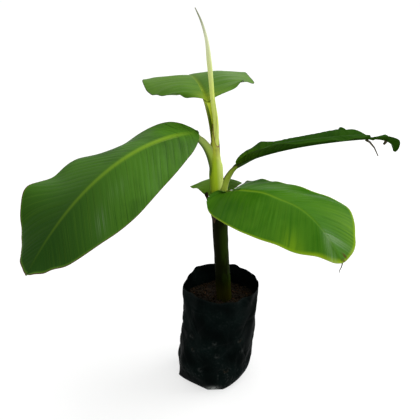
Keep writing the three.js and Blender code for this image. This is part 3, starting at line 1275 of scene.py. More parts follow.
@dataclass(frozen=True)
class Pseudostem:
    """The false stem of rolled sheaths, from the soil to the fork, and the collar round the spear."""

    exits: tuple[Pair, ...]
    foot: float = 118.3
    fork: float = 318.0
    foot_x: float = 12.2
    fork_x: float = 0.0
    foot_radius: float = 9.5
    neck_radius: float = 7.2
    fork_radius: float = 5.2
    shoulder: float = 26.0
    swell: float = 1.1
    swell_length: float = 60.0
    swell_end: float = 14.0
    sunk: float = 9.0
    mouth: Pair = (3.0, 30.0)
    mouth_heading: float = 150.0
    mouth_curve: float = 1.5
    mouth_wall: float = 0.5
    ply: float = 0.4
    ply_edge: float = 0.35
    margin_half: float = 0.6
    margin_span: tuple[float, float, float, float] = (215.0, 255.0, 262.0, 274.0)
    sheath_top: float = 32.0
    sheath_end: float = 2.0
    sheath_slant: float = 7.0
    sheath_spread: Pair = (0.5, 3.7)
    wander: tuple[tuple[float, float, int], ...] = ((0.05, 9.0, 1), (0.03, 3.1, 2))
    ribs: Waves = ((0.08, 23, 17.0), (0.06, 41, -29.0))
    dents: Unevenness = Unevenness(21, 22.0, 0.16)
    light_heading: float = -20.0
    rows: int = 230
    mouth_rows: int = 40
    sides: int = 120

    def share(self, z: Array) -> Array:
        """Returns the share of the way from foot to fork at heights."""
        return (z - self.foot) / (self.fork - self.foot)

    def axis(self, z: Array) -> Array:
        """Returns the stem's middle at heights."""
        return np.stack([mix(self.foot_x, self.fork_x, np.minimum(self.share(z), 1)), 0 * z, z], -1)

    def radius(self, angle: Array, z: Array) -> Array:
        """Works out the radius by the solid's rule.

        Args:
            angle: Angles round the stem.
            z: Heights.

        Returns:
            The radius, with a swell below each petiole.
        """
        body = mix(self.foot_radius, self.neck_radius, self.share(z) * self.share(z))
        narrowed = mix(body, self.fork_radius, smooth(self.fork - self.shoulder, self.fork, z))
        sheaths = np.zeros(np.broadcast(angle, z).shape)
        for heading, height in self.exits:
            faces = np.maximum(0, np.cos(angle - math.radians(heading))) ** 2
            grown = smooth(height - self.swell_length, height, z)
            closed = 1 - smooth(height, height + self.swell_end, z)
            sheaths = np.maximum(sheaths, self.swell * faces * grown * closed)
        return narrowed + sheaths

    def margins(self, angle: Array, z: Array) -> tuple[Array, Array]:
        """Lays the sheaths over each other.

        Args:
            angle: Angles round the stem.
            z: Heights.

        Returns:
            How many sheaths cover each point, and how near it is to the margin of one, 0 to 1.
        """
        covers = np.zeros(angle.shape)
        near = np.zeros(angle.shape)
        at_top, most = self.sheath_spread
        for number, (heading, height) in enumerate(self.exits):
            top = height + self.sheath_top
            away = np.abs(turned_from(math.radians(heading), angle))
            wander = sum(size * np.sin(z / length + phase * number) for size, length, phase in self.wander)
            spread = np.clip(at_top + (top - z) / self.sheath_slant, 0.0, most) + wander
            reach = (spread - away) * self.neck_radius
            below = 1 - smooth(top - self.sheath_end, top + self.sheath_end, z)
            covers += smooth(-self.ply_edge, self.ply_edge, reach) * below
            near = np.maximum(near, bell(reach, self.margin_half) * below)
        begin, full, still_full, end = self.margin_span
        return covers, near * smooth(begin, full, z) * (1 - smooth(still_full, end, z))

    def keep_clear(self, points: Array, gap: float) -> Array:
        """Moves points out of the stem where they would enter it.

        Args:
            points: Places in mm.
            gap: How far off the stem they stay.

        Returns:
            The moved points.
        """
        z = points[..., 2]
        middle = self.axis(z)
        away = points[..., :2] - middle[..., :2]
        distance = np.maximum(np.linalg.norm(away, axis=-1), 0.1)
        wanted = self.radius(np.arctan2(away[..., 1], away[..., 0]), z) + gap
        share = np.where((z > self.foot) & (z < self.fork), np.maximum(1, wanted / distance), 1)
        moved = points.copy()
        moved[..., :2] = middle[..., :2] + away * share[..., None]
        return moved

    def build(self, spear: Spear, finish: StemFinish) -> Object:
        """Makes the stem with its sheaths' margins standing proud and a slanted mouth round the spear.

        Args:
            spear: The rolled leaf that stands in the mouth.
            finish: The sheaths' finish.

        Returns:
            The stem's piece.
        """
        angle = even_angles(self.sides)[None, :]
        low = np.linspace(self.foot - self.sunk, self.fork, self.rows)[:, None] + 0 * angle
        rise = np.linspace(0, 1, self.mouth_rows + 1)[1:, None]
        turned = 0.5 + 0.5 * np.cos(angle - math.radians(self.mouth_heading))
        high = self.fork + rise * mix(*self.mouth, turned**self.mouth_curve)
        z = np.concatenate([low, high])
        closing = np.concatenate([0 * low, rise + 0 * angle])
        angle = np.broadcast_to(angle, z.shape)
        covers, near = self.margins(angle, z)
        plies = self.ply * (covers - covers.mean(1, keepdims=True))
        radius = self.radius(angle, np.clip(z, self.foot, self.fork)) + plies
        radius = mix(radius, spear.radius_at(z) + self.mouth_wall, smooth(0.0, 0.9, closing))
        middle = mix(self.axis(z), spear.middle(z.ravel()).reshape(*z.shape, 3), closing[..., None])
        ways = level_ways(angle)
        even = middle + radius[..., None] * ways
        ribs = sum(size * np.sin(count * angle + z / pitch) for size, count, pitch in self.ribs)
        uneven = (self.dents.at(even) + ribs) * (1 - closing)
        return make_piece(
            "pseudostem_sheaths",
            closed_tube(even + uneven[..., None] * ways),
            finish.material(),
            margin=np.maximum(near, smooth(0.9, 1.0, closing)),
            shade=(0.5 - 0.5 * np.cos(angle - math.radians(self.light_heading))) * (1 - 0.5 * closing),
        )


@dataclass(frozen=True)
class Leaf:
    """One leaf: headings are degrees from +X towards +Y, slopes are degrees above level, lengths are mm."""

    name: str
    base: Place
    heading: float
    slope: Pair
    length: float
    half: float
    left: HalfBlade
    right: HalfBlade
    petiole: Petiole
    finish: LeafFinish
    limb: LimbFinish
    swing: float = 0.0
    bend: float = 1.0
    hook: float = 0.0
    roll: Pair = (0.0, 0.0)
    foot: float = 0.2
    heel: float = 1.9
    sweep: float = 0.6
    neck: Neck | None = None
    edge_wave: float = 0.5
    rib_half: Pair = (4.0, 0.8)
    rib_fade: Pair = (1.0, 0.3)
    rib_start: float = 0.0
    rib_depth: Pair = (4.4, 0.6)
    sag: tuple[Swell, ...] = ()
    marks: tuple[Mark, ...] = ()
    strands: tuple[Strand, ...] = ()

    def midrib(self) -> Midrib:
        """Works out the midrib.

        Returns:
            Its places and directions.
        """
        x = np.linspace(0, 1, STYLE.steps + 1)
        turn = np.radians(self.heading + self.swing * x)
        pitch = np.radians(mix(*self.slope, x**self.bend) - self.hook * x**STYLE.hook_power)
        along = np.stack([np.cos(pitch) * np.cos(turn), np.cos(pitch) * np.sin(turn), np.sin(pitch)], -1)
        level = np.stack([-np.sin(turn), np.cos(turn), 0 * turn], -1)
        roll = np.radians(mix(*self.roll, x))[:, None]
        left = np.cos(roll) * level + np.sin(roll) * np.cross(along, level)
        steps = (along[1:] + along[:-1]) / 2 * self.length / STYLE.steps
        place = np.array(self.base) + np.concatenate([np.zeros((1, 3)), np.cumsum(steps, 0)])
        up = np.cross(along, left)
        return Midrib(x, place + raised(self.sag, x)[:, None] * up, along, left, up, self.length)

    def half_surface(self, midrib: Midrib, s: Array, q: Array, side: Side) -> tuple[Array, Array, Array]:
        """Works out one half of the blade's middle surface.

        Args:
            midrib: The leaf's midrib.
            s: Share of the midrib where a side vein is rooted, as a column.
            q: Share of the way out along it, as a row.
            side: Which half.

        Returns:
            The points, how far out they lie and the half's width there.
        """
        sizes = self.left if side is Side.LEFT else self.right
        end = s + 4 * self.sweep * self.half / self.length * s * (1 - s)
        width = self.half * sizes.share * sizes.outline(end, self.foot, self.heel)
        if self.neck:
            width = width * (1 - self.neck.depth * bell(end - self.neck.at, self.neck.length))
        width = width + sum(swell.out * swell.share(end) for swell in sizes.swells)
        width = np.maximum(width, STYLE.tip_half)
        rounded = sizes.rounded(s * self.length)
        width = mix(np.minimum(width, STYLE.tip_half), width, rounded**sizes.corner)
        back = sizes.lobe * (1 - s) ** STYLE.lobe_end * q**STYLE.lobe_curve
        back = back + sizes.back * (1 - s) ** STYLE.back_end * q
        x = s + (end - s) * q**STYLE.vein_curve - back / self.length * rounded
        place, left, up = midrib.at(x)
        out = width * q
        dropped = mix(*sizes.fold, np.clip(x, 0, 1))
        chord = np.radians(dropped + sizes.curl * out / self.half / 2)
        ripple = (sizes.wave.rise(x) + sizes.flutter.rise(x)) * (out / self.half) ** 2
        swollen = raised(sizes.swells, x) - raised(self.sag, x)
        ripple = ripple + swollen * q**STYLE.swell_curve * rounded
        behind = np.exp(-np.maximum(s - sizes.start / self.length, 0) / STYLE.lobe_fade)
        ripple = ripple + sizes.lobe_lift * q**STYLE.lobe_rise * behind * rounded
        sideways = side.value * out * np.cos(chord)
        points = place + sideways[..., None] * left + (ripple - out * np.sin(chord))[..., None] * up
        return points, out, np.broadcast_to(width, out.shape)

    def relief(self, root: Array, share: Array, out: Array, pleat: Array) -> Array:
        """Works out the fine relief: the pleats, the channel over the midrib, dents and waves of the margin.

        Args:
            root: Share of the midrib where each point's side vein is rooted.
            share: Share of the way out along that vein.
            out: Distance out from the midrib, left positive.
            pleat: Number of pleats from the base.

        Returns:
            How far each point is raised.
        """
        flat = np.stack([root * self.length, out, 0 * out], -1)
        fullness, level = STYLE.pleat_puff
        puff = np.abs(np.sin(math.pi * pleat)) ** fullness - level
        strength = 1 + STYLE.pleat_strength.at(flat)
        fade = smooth(0.04, 0.22, share) * (1 - 0.6 * smooth(0.7, 1.0, share)) * smooth(0.0, 0.06, root)
        fade = fade * (1 - smooth(0.9, 1.0, root))
        channel = mix(*STYLE.channel, root) * bell(out, mix(*self.rib_half, root))
        margin = self.edge_wave * share**STYLE.margin_power * STYLE.margin_ripple.at(flat)
        lift = STYLE.pleat_height * puff * strength * fade - channel + margin * smooth(0.0, 0.1, root)
        return lift + STYLE.dents.at(flat) * smooth(0.05, 0.4, share)

    def blade_grid(self, stem: Pseudostem) -> BladeGrid:
        """Works out the blade's middle surface with its fine relief.

        Args:
            stem: The stem that it stays clear of.

        Returns:
            The surface's grid.
        """
        midrib = self.midrib()
        s = np.linspace(0, 1, int(self.length / STYLE.row))[:, None] ** STYLE.row_crowding
        t = np.linspace(0, 1, STYLE.columns + 1)[None, :]
        q = 0.5 * t**STYLE.column_crowding + 0.5 * (1 - (1 - t) ** STYLE.column_crowding)
        left, left_out, left_width = self.half_surface(midrib, s, q, Side.LEFT)
        right, right_out, right_width = self.half_surface(midrib, s, q, Side.RIGHT)

        def across(one: Array, other: Array) -> Array:
            """Returns one grid from margin to margin."""
            return np.concatenate([one[:, ::-1], other[:, 1:]], 1)

        points = across(left, right)
        out = across(left_out, -right_out)
        width = across(left_width, right_width)
        root = np.broadcast_to(s, out.shape)
        share = np.abs(out) / width
        size, count, phase = STYLE.pleat_wander
        shift = np.where(out < 0, STYLE.pleat_shift, 0.0)
        pleat = root * self.length / STYLE.pleat + size * np.sin(count * root + phase) + shift
        relief = self.relief(root, share, out, pleat)
        points = stem.keep_clear(points + relief[..., None] * normals(points), STYLE.clear)
        added, reach = STYLE.bare_base
        edge = width - np.abs(out) + added * bell(root * self.length, reach)
        return BladeGrid(points, normals(points), root, share, out, edge, pleat)

    def mark_values(self, grid: BladeGrid, kind: Patch) -> Array:
        """Works out the leaf's marks of one kind.

        Args:
            grid: The blade's grid.
            kind: Which kind.

        Returns:
            How strongly they cover each point, 0 to 1.
        """
        total = np.zeros(grid.out.shape)
        for mark in self.marks:
            if mark.kind is kind:
                along = (grid.root - mark.along) * self.length / mark.size[0]
                across = (grid.out - mark.out * self.half) / mark.size[1]
                total = np.maximum(total, mark.strength * np.exp(-(along**2) - across**2))
        return total

    def build_blade(self, grid: BladeGrid) -> Object:
        """Makes the blade, a thin sheet pleated along its side veins.

        Args:
            grid: The blade's grid.

        Returns:
            The piece.
        """
        thick = STYLE.thick * (1 - STYLE.thinned * smooth(0.9, 1.0, grid.share))[..., None] / 2
        away = np.abs(grid.out) / mix(*self.rib_half, grid.root)
        rib = (1 - smooth(0.2, 1.2, away)) * mix(*self.rib_fade, grid.root**0.7)
        rib = rib * smooth(-0.02, self.rib_start, grid.root)
        carried = {"rib": rib, "edge": grid.edge, "run": grid.root}
        carried |= {kind.value: self.mark_values(grid, kind) for kind in Patch}
        upper = np.zeros(grid.out.shape)
        return make_piece(
            f"blade_{self.name}_pleated",
            closed_sheet(grid.points + thick * grid.normal, grid.points - thick * grid.normal),
            self.finish.material(f"leaf_{self.name}"),
            uv=(np.stack([grid.pleat] * 2), np.stack([grid.out / 10] * 2)),
            under=np.stack([upper, upper + 1]),
            **{key: np.stack([value] * 2) for key, value in carried.items()},
        )

    def build_veins(self, grid: BladeGrid, material: Material) -> Object:
        """Lays the side veins along the pleats of the lower face.

        Args:
            grid: The blade's grid.
            material: The blade's finish.

        Returns:
            The piece.
        """
        under = grid.points - STYLE.thick / 2 * grid.normal
        veins = []
        for side in Side:
            columns = STYLE.columns - side.value * np.arange(2, STYLE.columns - 1, 2)
            number = np.floor(grid.pleat[:, columns[0]])
            for row in np.nonzero(np.diff(number))[0]:
                taper = 1 - STYLE.vein_taper * grid.share[row, columns]
                veins.append((under[row, columns], STYLE.vein * taper))
        return grow_threads(f"veins_{self.name}", f"side_veins_{self.name}", material, veins)

    def build_strands(self, finish: DryFinish) -> Object:
        """Hangs the leaf's torn strips from its midrib.

        Args:
            finish: The strips' finish.

        Returns:
            The piece.
        """
        t = np.linspace(0, 1, STYLE.strand_rows)
        strips = []
        for strand in self.strands:
            place = self.midrib().at(np.array([strand.along]))[0]
            knots = np.array(strand.path)
            shares = np.linspace(0, 1, len(knots))
            path = np.stack([np.interp(t, shares, knots[:, k]) for k in range(3)], 1)
            strips.append((place + path, mix(*strand.thick, t)))
        name = f"strand_{self.name}"
        return grow_threads(name, name, finish.material(f"dry_{self.name}"), strips)

    def petiole_rings(self, stem: Pseudostem, midrib: Midrib) -> dict[str, Array]:
        """Works out the rings of the petiole, flush with the stem at its foot.

        Args:
            stem: The stem that it leaves.
            midrib: The midrib that it runs on as.

        Returns:
            Arrays by name, with a row for each ring: its top, its directions left and up, its half width,
            its depth under the top, its margins' height, its groove's depth and how far along it lies.
        """
        petiole = self.petiole
        t = np.linspace(0, 1, STYLE.limb_rows)[:, None]
        heading = math.radians(self.heading)
        level = np.array([-math.sin(heading), math.cos(heading), 0])
        start = stem.axis(np.array([petiole.leaves]))[0]
        end = midrib.place[0] - (petiole.depth[1] / 2 + petiole.sunk) * midrib.up[0]
        path = (
            (1 - t) ** 3 * start
            + 3 * (1 - t) ** 2 * t * (start + np.array([*petiole.lean, petiole.lift]))
            + 3 * (1 - t) * t**2 * (end - petiole.ease * midrib.along[0])
            + t**3 * end
        )
        along = unit(np.gradient(path, axis=0))
        up = unit(np.cross(along, mix(level, midrib.left[0], t)))
        roll = np.radians(petiole.roll) * np.sin(math.pi * t)
        up = np.cos(roll) * up + np.sin(roll) * np.cross(up, along)
        t = t[:, 0]
        depth = mix(*petiole.depth, t)
        flush = stem.radius(np.array(heading), np.array(petiole.leaves)) + petiole.depth[0] / 2
        free = smooth(0.0, STYLE.limb_foot, t)
        return {
            "top": path + depth[:, None] / 2 * up,
            "left": np.cross(up, along),
            "up": up,
            "half": mix(*petiole.half, t) * mix(petiole.narrow, 1, free),
            "under": mix(flush, depth, free),
            "wing": 0 * t,
            "channel": petiole.groove * depth,
            "run": t,
        }

    def midrib_rings(self, midrib: Midrib) -> dict[str, Array]:
        """Works out the rings of the midrib under the blade.

        Args:
            midrib: The leaf's midrib.

        Returns:
            Arrays by the same names.
        """
        petiole = self.petiole
        x = np.linspace(*STYLE.rib_span, STYLE.rib_rows)
        place, left, up = midrib.at(x)
        fold = np.radians(np.maximum(0, (mix(*self.left.fold, x) + mix(*self.right.fold, x)) / 2))
        joined = smooth(0.0, STYLE.rib_joint, x)
        half = mix(petiole.half[1], mix(*self.rib_half, x) * STYLE.rib_share, joined)
        return {
            "top": place - (petiole.sunk * (1 - joined))[:, None] * up,
            "left": left,
            "up": up,
            "half": half,
            "under": mix(petiole.depth[1], mix(*self.rib_depth, x), joined),
            "wing": -(half * np.sin(fold) + STYLE.rib_gap) * smooth(-0.02, 0.04, x),
            "channel": mix(petiole.groove * petiole.depth[1], STYLE.rib_groove, joined),
            "run": 1 + x,
        }

    def build_limb(self, stem: Pseudostem) -> Object:
        """Makes the petiole and the midrib that it runs on as, a crescent with a groove on top.

        Args:
            stem: The stem that it leaves.

        Returns:
            The piece.
        """
        midrib = self.midrib()
        parts = self.petiole_rings(stem, midrib), self.midrib_rings(midrib)
        rings = {key: np.concatenate([part[key] for part in parts])[:, None] for key in parts[0]}
        half, under, wing = rings["half"], rings["under"], rings["wing"]
        turn = np.linspace(0, math.pi, STYLE.limb_sides)
        inner = turn[-2:0:-1]
        across = np.concatenate([half * np.cos(turn), STYLE.lip_inset * half * np.cos(inner)], 1)
        outside = wing - (under + wing) * np.sin(turn)
        groove = wing + STYLE.lip - rings["channel"] * np.sin(inner)
        height = np.concatenate([outside, groove], 1)
        shell = rings["top"] + across[..., None] * rings["left"] + height[..., None] * rings["up"]
        outward = unit(shell - shell.mean(1, keepdims=True))
        share, run = np.broadcast_arrays(np.arange(across.shape[1]) / across.shape[1], rings["run"])
        lips = bell(np.sin(np.concatenate([turn, inner])), STYLE.lip_colour)
        return make_piece(
            f"limb_{self.name}",
            closed_tube(shell),
            self.limb.material(f"petiole_{self.name}"),
            uv=(share, run * 10),
            run=run,
            wing=lips * (run < 1.02),
            shade=0.5 - 0.5 * outward @ unit(np.array(STYLE.light)),
        )


@dataclass(frozen=True)
class DrySheath:
    """The dry end of an old sheath that curls away from the stem."""

    foot: float = 226.0
    top: float = 263.5
    curl: float = 8.5
    cup: float = 0.75
    gap: float = 0.8
    half: Pair = (5.4, 6.6)
    waist: float = 0.3
    ragged: Pair = (0.1, 0.3)
    thick: float = 0.35
    heading: float = 223.0
    seed: int = 17
    rows: int = 60
    columns: int = 24

    def build(self, stem: Pseudostem, finish: DryFinish) -> Object:
        """Makes the scrap, cupped round the stem, with a ragged end.

        Args:
            stem: The stem that it hangs on.
            finish: The scrap's finish.

        Returns:
            The piece.
        """
        random = np.random.default_rng(self.seed)
        q = np.linspace(-1, 1, self.columns)[None, :]
        torn, held = self.ragged
        t = np.linspace(0, 1, self.rows)[:, None]
        t = t * (1 - torn * random.random(self.columns)[None, :] * (1 - held * np.abs(q)))
        z = mix(self.foot, self.top, t)
        half = mix(*self.half, t**0.8) * (1 + 0.12 * np.sin(9 * t + 2 * q))
        half = half * mix(self.waist, 1, smooth(0.0, 0.4, t))
        angle = math.radians(self.heading) + half * q / stem.neck_radius
        radius = stem.radius(angle, z) + self.gap + self.curl * t**2 * (1 - self.cup * q**2)
        radius = radius + 0.5 * np.sin(7 * t + 5 * q) * t
        middle = stem.axis(z) + radius[..., None] * level_ways(angle)
        off = self.thick / 2 * normals(middle)
        body = closed_sheet(middle - off, middle + off)
        return make_piece("dry_sheath_scrap", body, finish.material("dry_sheath_skin"))


@dataclass(frozen=True)
class GrowBag:
    """The film bag: a folded four-cornered base that fills out to a creased round, open at an uneven rim."""

    height: float = 135.0
    radius: float = 47.5
    film: float = 0.5
    lean: float = 9.0
    base_radius: float = 47.0
    base_shape: float = 1.32
    base_front: float = 42.5
    base_shift: float = 0.045
    base_skew: float = 0.25
    tuck: float = 26.0
    bulge: float = 2.0
    bulge_height: float = 31.0
    folds: Waves = ((0.7, 7, 30.0), (0.42, 13, -18.0))
    rim_waves: Waves = ((1.6, 3, 3.2), (1.0, 5, 1.0), (0.5, 17, 0.4))
    rim_swells: tuple[tuple[float, float, float, float], ...] = (
        (270.0, 42.0, 4.5, 0.0),
        (128.0, 26.0, 3.0, 4.0),
        (52.0, 22.0, 2.0, 2.0),
    )
    flares: Waves = ((1.3, 4, 0.6), (0.5, 11, 2.0))
    creases: int = 120
    crease_seed: int = 41
    crease_lean: Pair = (math.pi / 2, 0.75)
    crease_length: Pair = (8.0, 34.0)
    crease_depth: Pair = (0.15, 0.6)
    crease_width: Pair = (0.9, 2.6)
    crease_reach: float = 11.0
    dents: Unevenness = Unevenness(51, 26.0, 0.5)
    hole_rows: tuple[Pair, ...] = ((77.0, -137.0), (59.0, -91.0), (33.0, -115.0))
    holes_round: int = 9
    hole_radius: float = 2.4
    hole_lip: tuple[float, float, float] = (0.55, 0.8, 1.0)
    hole_depth: float = 1.1
    hole_dust: float = 1.1
    # Heading, length, level and height of the fold under the front that takes dust and a painted glint.
    scuffed: tuple[float, float, float, float] = (267.0, 9.0, 3.0, 3.8)
    rows: int = 132
    base_rows: int = 10
    sides: int = 290

    def rule(self, angle: Array, z: Array) -> Array:
        """Works out the outer radius by the solid's rule.

        Args:
            angle: Angles round the bag.
            z: Heights.

        Returns:
            The radius.
        """
        square = angle - self.base_skew * np.abs(np.cos(angle))
        shape = self.base_shape
        corners = np.abs(np.cos(square)) ** shape + np.abs(np.sin(square)) ** shape
        base = self.base_radius / corners ** (1 / shape)
        base = np.minimum(base, self.base_front / np.maximum(-np.sin(angle), 0.01))
        base = base * (1 - self.base_shift * np.cos(angle))
        swelling = self.bulge * np.maximum(0, -np.cos(angle)) * bell(z - self.bulge_height, self.tuck)
        folds = sum(depth * np.sin(count * angle + z / pitch) for depth, count, pitch in self.folds)
        fill = 1 - (1 - np.clip(z / self.tuck, 0, 1)) ** 2
        return mix(base, self.radius + swelling + folds, fill)

    def rim_swell(self, angle: Array, part: int) -> Array:
        """Works out the rim's swells.

        Args:
            angle: Angles round the bag.
            part: 0 for how far they raise it, 1 for how far they push it out.

        Returns:
            How far, at each angle.
        """
        total = np.zeros(np.shape(angle))
        for heading, length, *sizes in self.rim_swells:
            total = total + sizes[part] * facing(heading, length, angle)
        return total

    def rim(self, angle: Array) -> Array:
        """Returns the height of the cut rim."""
        waves = sum(height * np.sin(count * angle + phase) for height, count, phase in self.rim_waves)
        return self.height + waves + self.rim_swell(angle, 0)

    def ring(self, angle: Array, radius: Array, z: Array) -> Array:
        """Returns points at radii round the leaning bag's middle."""
        x = self.lean * z / self.height + radius * np.cos(angle)
        return np.stack([x, radius * np.sin(angle), z], -1)

    def crumple(self, angle: Array, z: Array) -> tuple[Array, Array]:
        """Works out the film's creases.

        Args:
            angle: Angles round the bag.
            z: Heights.

        Returns:
            How far each point moves out, and how near it is to a sharp ridge, 0 to 1.
        """
        random = np.random.default_rng(self.crease_seed)
        moved = np.zeros(angle.shape)
        ridge = np.zeros(angle.shape)
        for _ in range(self.creases):
            turn = random.uniform(0, FULL_TURN)
            level = random.uniform(0, self.height)
            lean = random.normal(*self.crease_lean)
            length = random.uniform(*self.crease_length)
            depth = random.uniform(*self.crease_depth)
            width = random.uniform(*self.crease_width)
            sideways = self.radius * turned_from(turn, angle)
            along = sideways * math.cos(lean) + (z - level) * math.sin(lean)
            across = -sideways * math.sin(lean) + (z - level) * math.cos(lean)
            window = np.exp(-((along / length) ** 4))
            beside = 0.5 * window * np.tanh(across / width) * bell(across, self.crease_reach)
            moved += depth * (beside - window * bell(across, width))
            strength = depth / self.crease_depth[1]
            ridge = np.maximum(ridge, window * bell(across - 1.5 * width, 0.8) * strength)
        return moved, ridge

    def hole_relief(self, angle: Array, z: Array) -> tuple[Array, Array]:
        """Works out the film's relief round its holes.

        Args:
            angle: Angles round the bag.
            z: Heights.

        Returns:
            How far each point moves out, and how near it is to a hole's dusty side, 0 to 1.
        """
        moved = np.zeros(angle.shape)
        near = np.zeros(angle.shape)
        step = 360 / self.holes_round
        lip, beyond, width = self.hole_lip
        for level, first in self.hole_rows:
            for turn in np.radians(first + step * np.arange(self.holes_round)):
                sideways = self.radius * turned_from(turn, angle)
                distance = np.hypot(sideways, z - level)
                pressed = self.hole_depth * bell(distance, self.hole_radius)
                moved += lip * bell(distance - self.hole_radius - beyond, width) - pressed
                crescent = 0.5 + 0.5 * np.cos(np.arctan2(z - level, sideways) - turn)
                near = np.maximum(near, crescent * bell(distance - self.hole_radius, self.hole_dust))
        return moved, near

    def scuff(self, angle: Array, z: Array) -> Array:
        """Returns how strongly the fold under the front takes dust and a painted glint, 0 to 1."""
        heading, length, level, height = self.scuffed
        return facing(heading, length, angle) * bell(z - level, height)

    def build(self, finish: FilmFinish) -> Object:
        """Makes the bag as one closed skin: inside, over the rim and down the outside to the underside.

        Args:
            finish: The film's finish.

        Returns:
            The piece.
        """
        angle = even_angles(self.sides)[None, :]
        share = np.linspace(0, 1, self.rows)[:, None]
        z = share * self.rim(angle)
        angle = np.broadcast_to(angle, z.shape)
        creased, ridge = self.crumple(angle, z)
        punched, near = self.hole_relief(angle, z)
        free = smooth(0.02, 0.14, share)
        flares = sum(size * np.sin(count * angle + phase) for size, count, phase in self.flares)
        wander = (flares + self.rim_swell(angle, 1)) * smooth(0.8, 1.0, share)
        lumps = self.dents.at(self.radius * level_ways(angle) + z[..., None] * UP)
        radius = self.rule(angle, z) + free * (creased + punched) + wander + free * lumps

        def wall(inset: float) -> Array:
            """Works out one face of the film.

            Args:
                inset: How far it lies inside the outer face.

            Returns:
                Its rings, from the underside's middle up to the rim.
            """
            sides = self.ring(angle, radius - inset, np.maximum(z, inset))
            shares = np.linspace(0.004, 1, self.base_rows, endpoint=False)[:, None, None]
            floor = sides[:1] * (1 - UP) * shares
            return np.concatenate([floor + inset * UP, sides])

        def both(values: Array) -> Array:
            """Returns values for the rings of both faces."""
            padded = np.concatenate([np.zeros((self.base_rows, self.sides)), values])
            return np.concatenate([padded, padded[::-1]])

        return make_piece(
            "film_bag",
            closed_tube(np.concatenate([wall(self.film), wall(0.0)[::-1]])),
            finish.material(),
            ridge=both(np.maximum(ridge * free, smooth(0.975, 1.0, share))),
            hole=both(near * free),
            scuff=both(self.scuff(angle, z)),
        )


@dataclass(frozen=True)
class SoilFill:
    """The bag's filling, with a crumbly top round the stem's foot."""

    level: float = 113.5
    edge_drop: float = 1.5
    waves: tuple[float, int] = (1.4, 5)
    clods: tuple[Unevenness, ...] = (
        Unevenness(61, 17.0, 0.9),
        Unevenness(62, 6.5, 0.55),
        Unevenness(63, 2.6, 0.3),
    )
    mound: float = 1.2
    inset: float = 2.2
    seat: float = 9.5
    hub: float = 0.02
    sides: int = 220
    top_rows: int = 70
    wall_levels: tuple[float, ...] = (2.0, 12.0, 26.0, 55.0, 90.0, 108.0)

    def build(self, bag: GrowBag, stem: Pseudostem, finish: SoilFinish) -> Object:
        """Makes the filling with fine clods on its top.

        Args:
            bag: The bag that holds it.
            stem: The stem that stands in it.
            finish: The soil's finish.

        Returns:
            The piece.
        """
        angle = even_angles(self.sides)

        def ring(z: Array) -> Array:
            """Returns a ring just inside the film."""
            return bag.ring(angle, bag.rule(angle, z) - self.inset, z)

        walls = [ring(np.full(self.sides, z)) for z in self.wall_levels]
        height, count = self.waves
        edge = ring(self.level - self.edge_drop + height * np.sin(count * angle))
        foot = np.array([stem.foot_x, 0.0, self.level])
        seat_ring = foot + self.seat * level_ways(angle)
        shares = np.linspace(0, 1, self.top_rows)[:, None]
        top = mix(edge, seat_ring, shares[..., None])
        rough = sum(clod.at(top) for clod in self.clods)
        top[..., 2] += rough * smooth(-0.1, 0.15, shares) + self.mound * smooth(0.6, 1.0, shares)
        close = mix(foot, seat_ring, self.hub) + UP
        sides = np.array([mix(walls[0].mean(0), walls[0], self.hub), *walls])
        body = closed_tube(np.concatenate([sides, top, close[None]]))
        inner = np.linalg.norm(top - edge, axis=-1)
        inner = np.concatenate([np.zeros(sides.shape[:2]), inner, inner[-1:]])
        return make_piece("soil_fill", body, finish.material("potting_soil"), inner=inner)


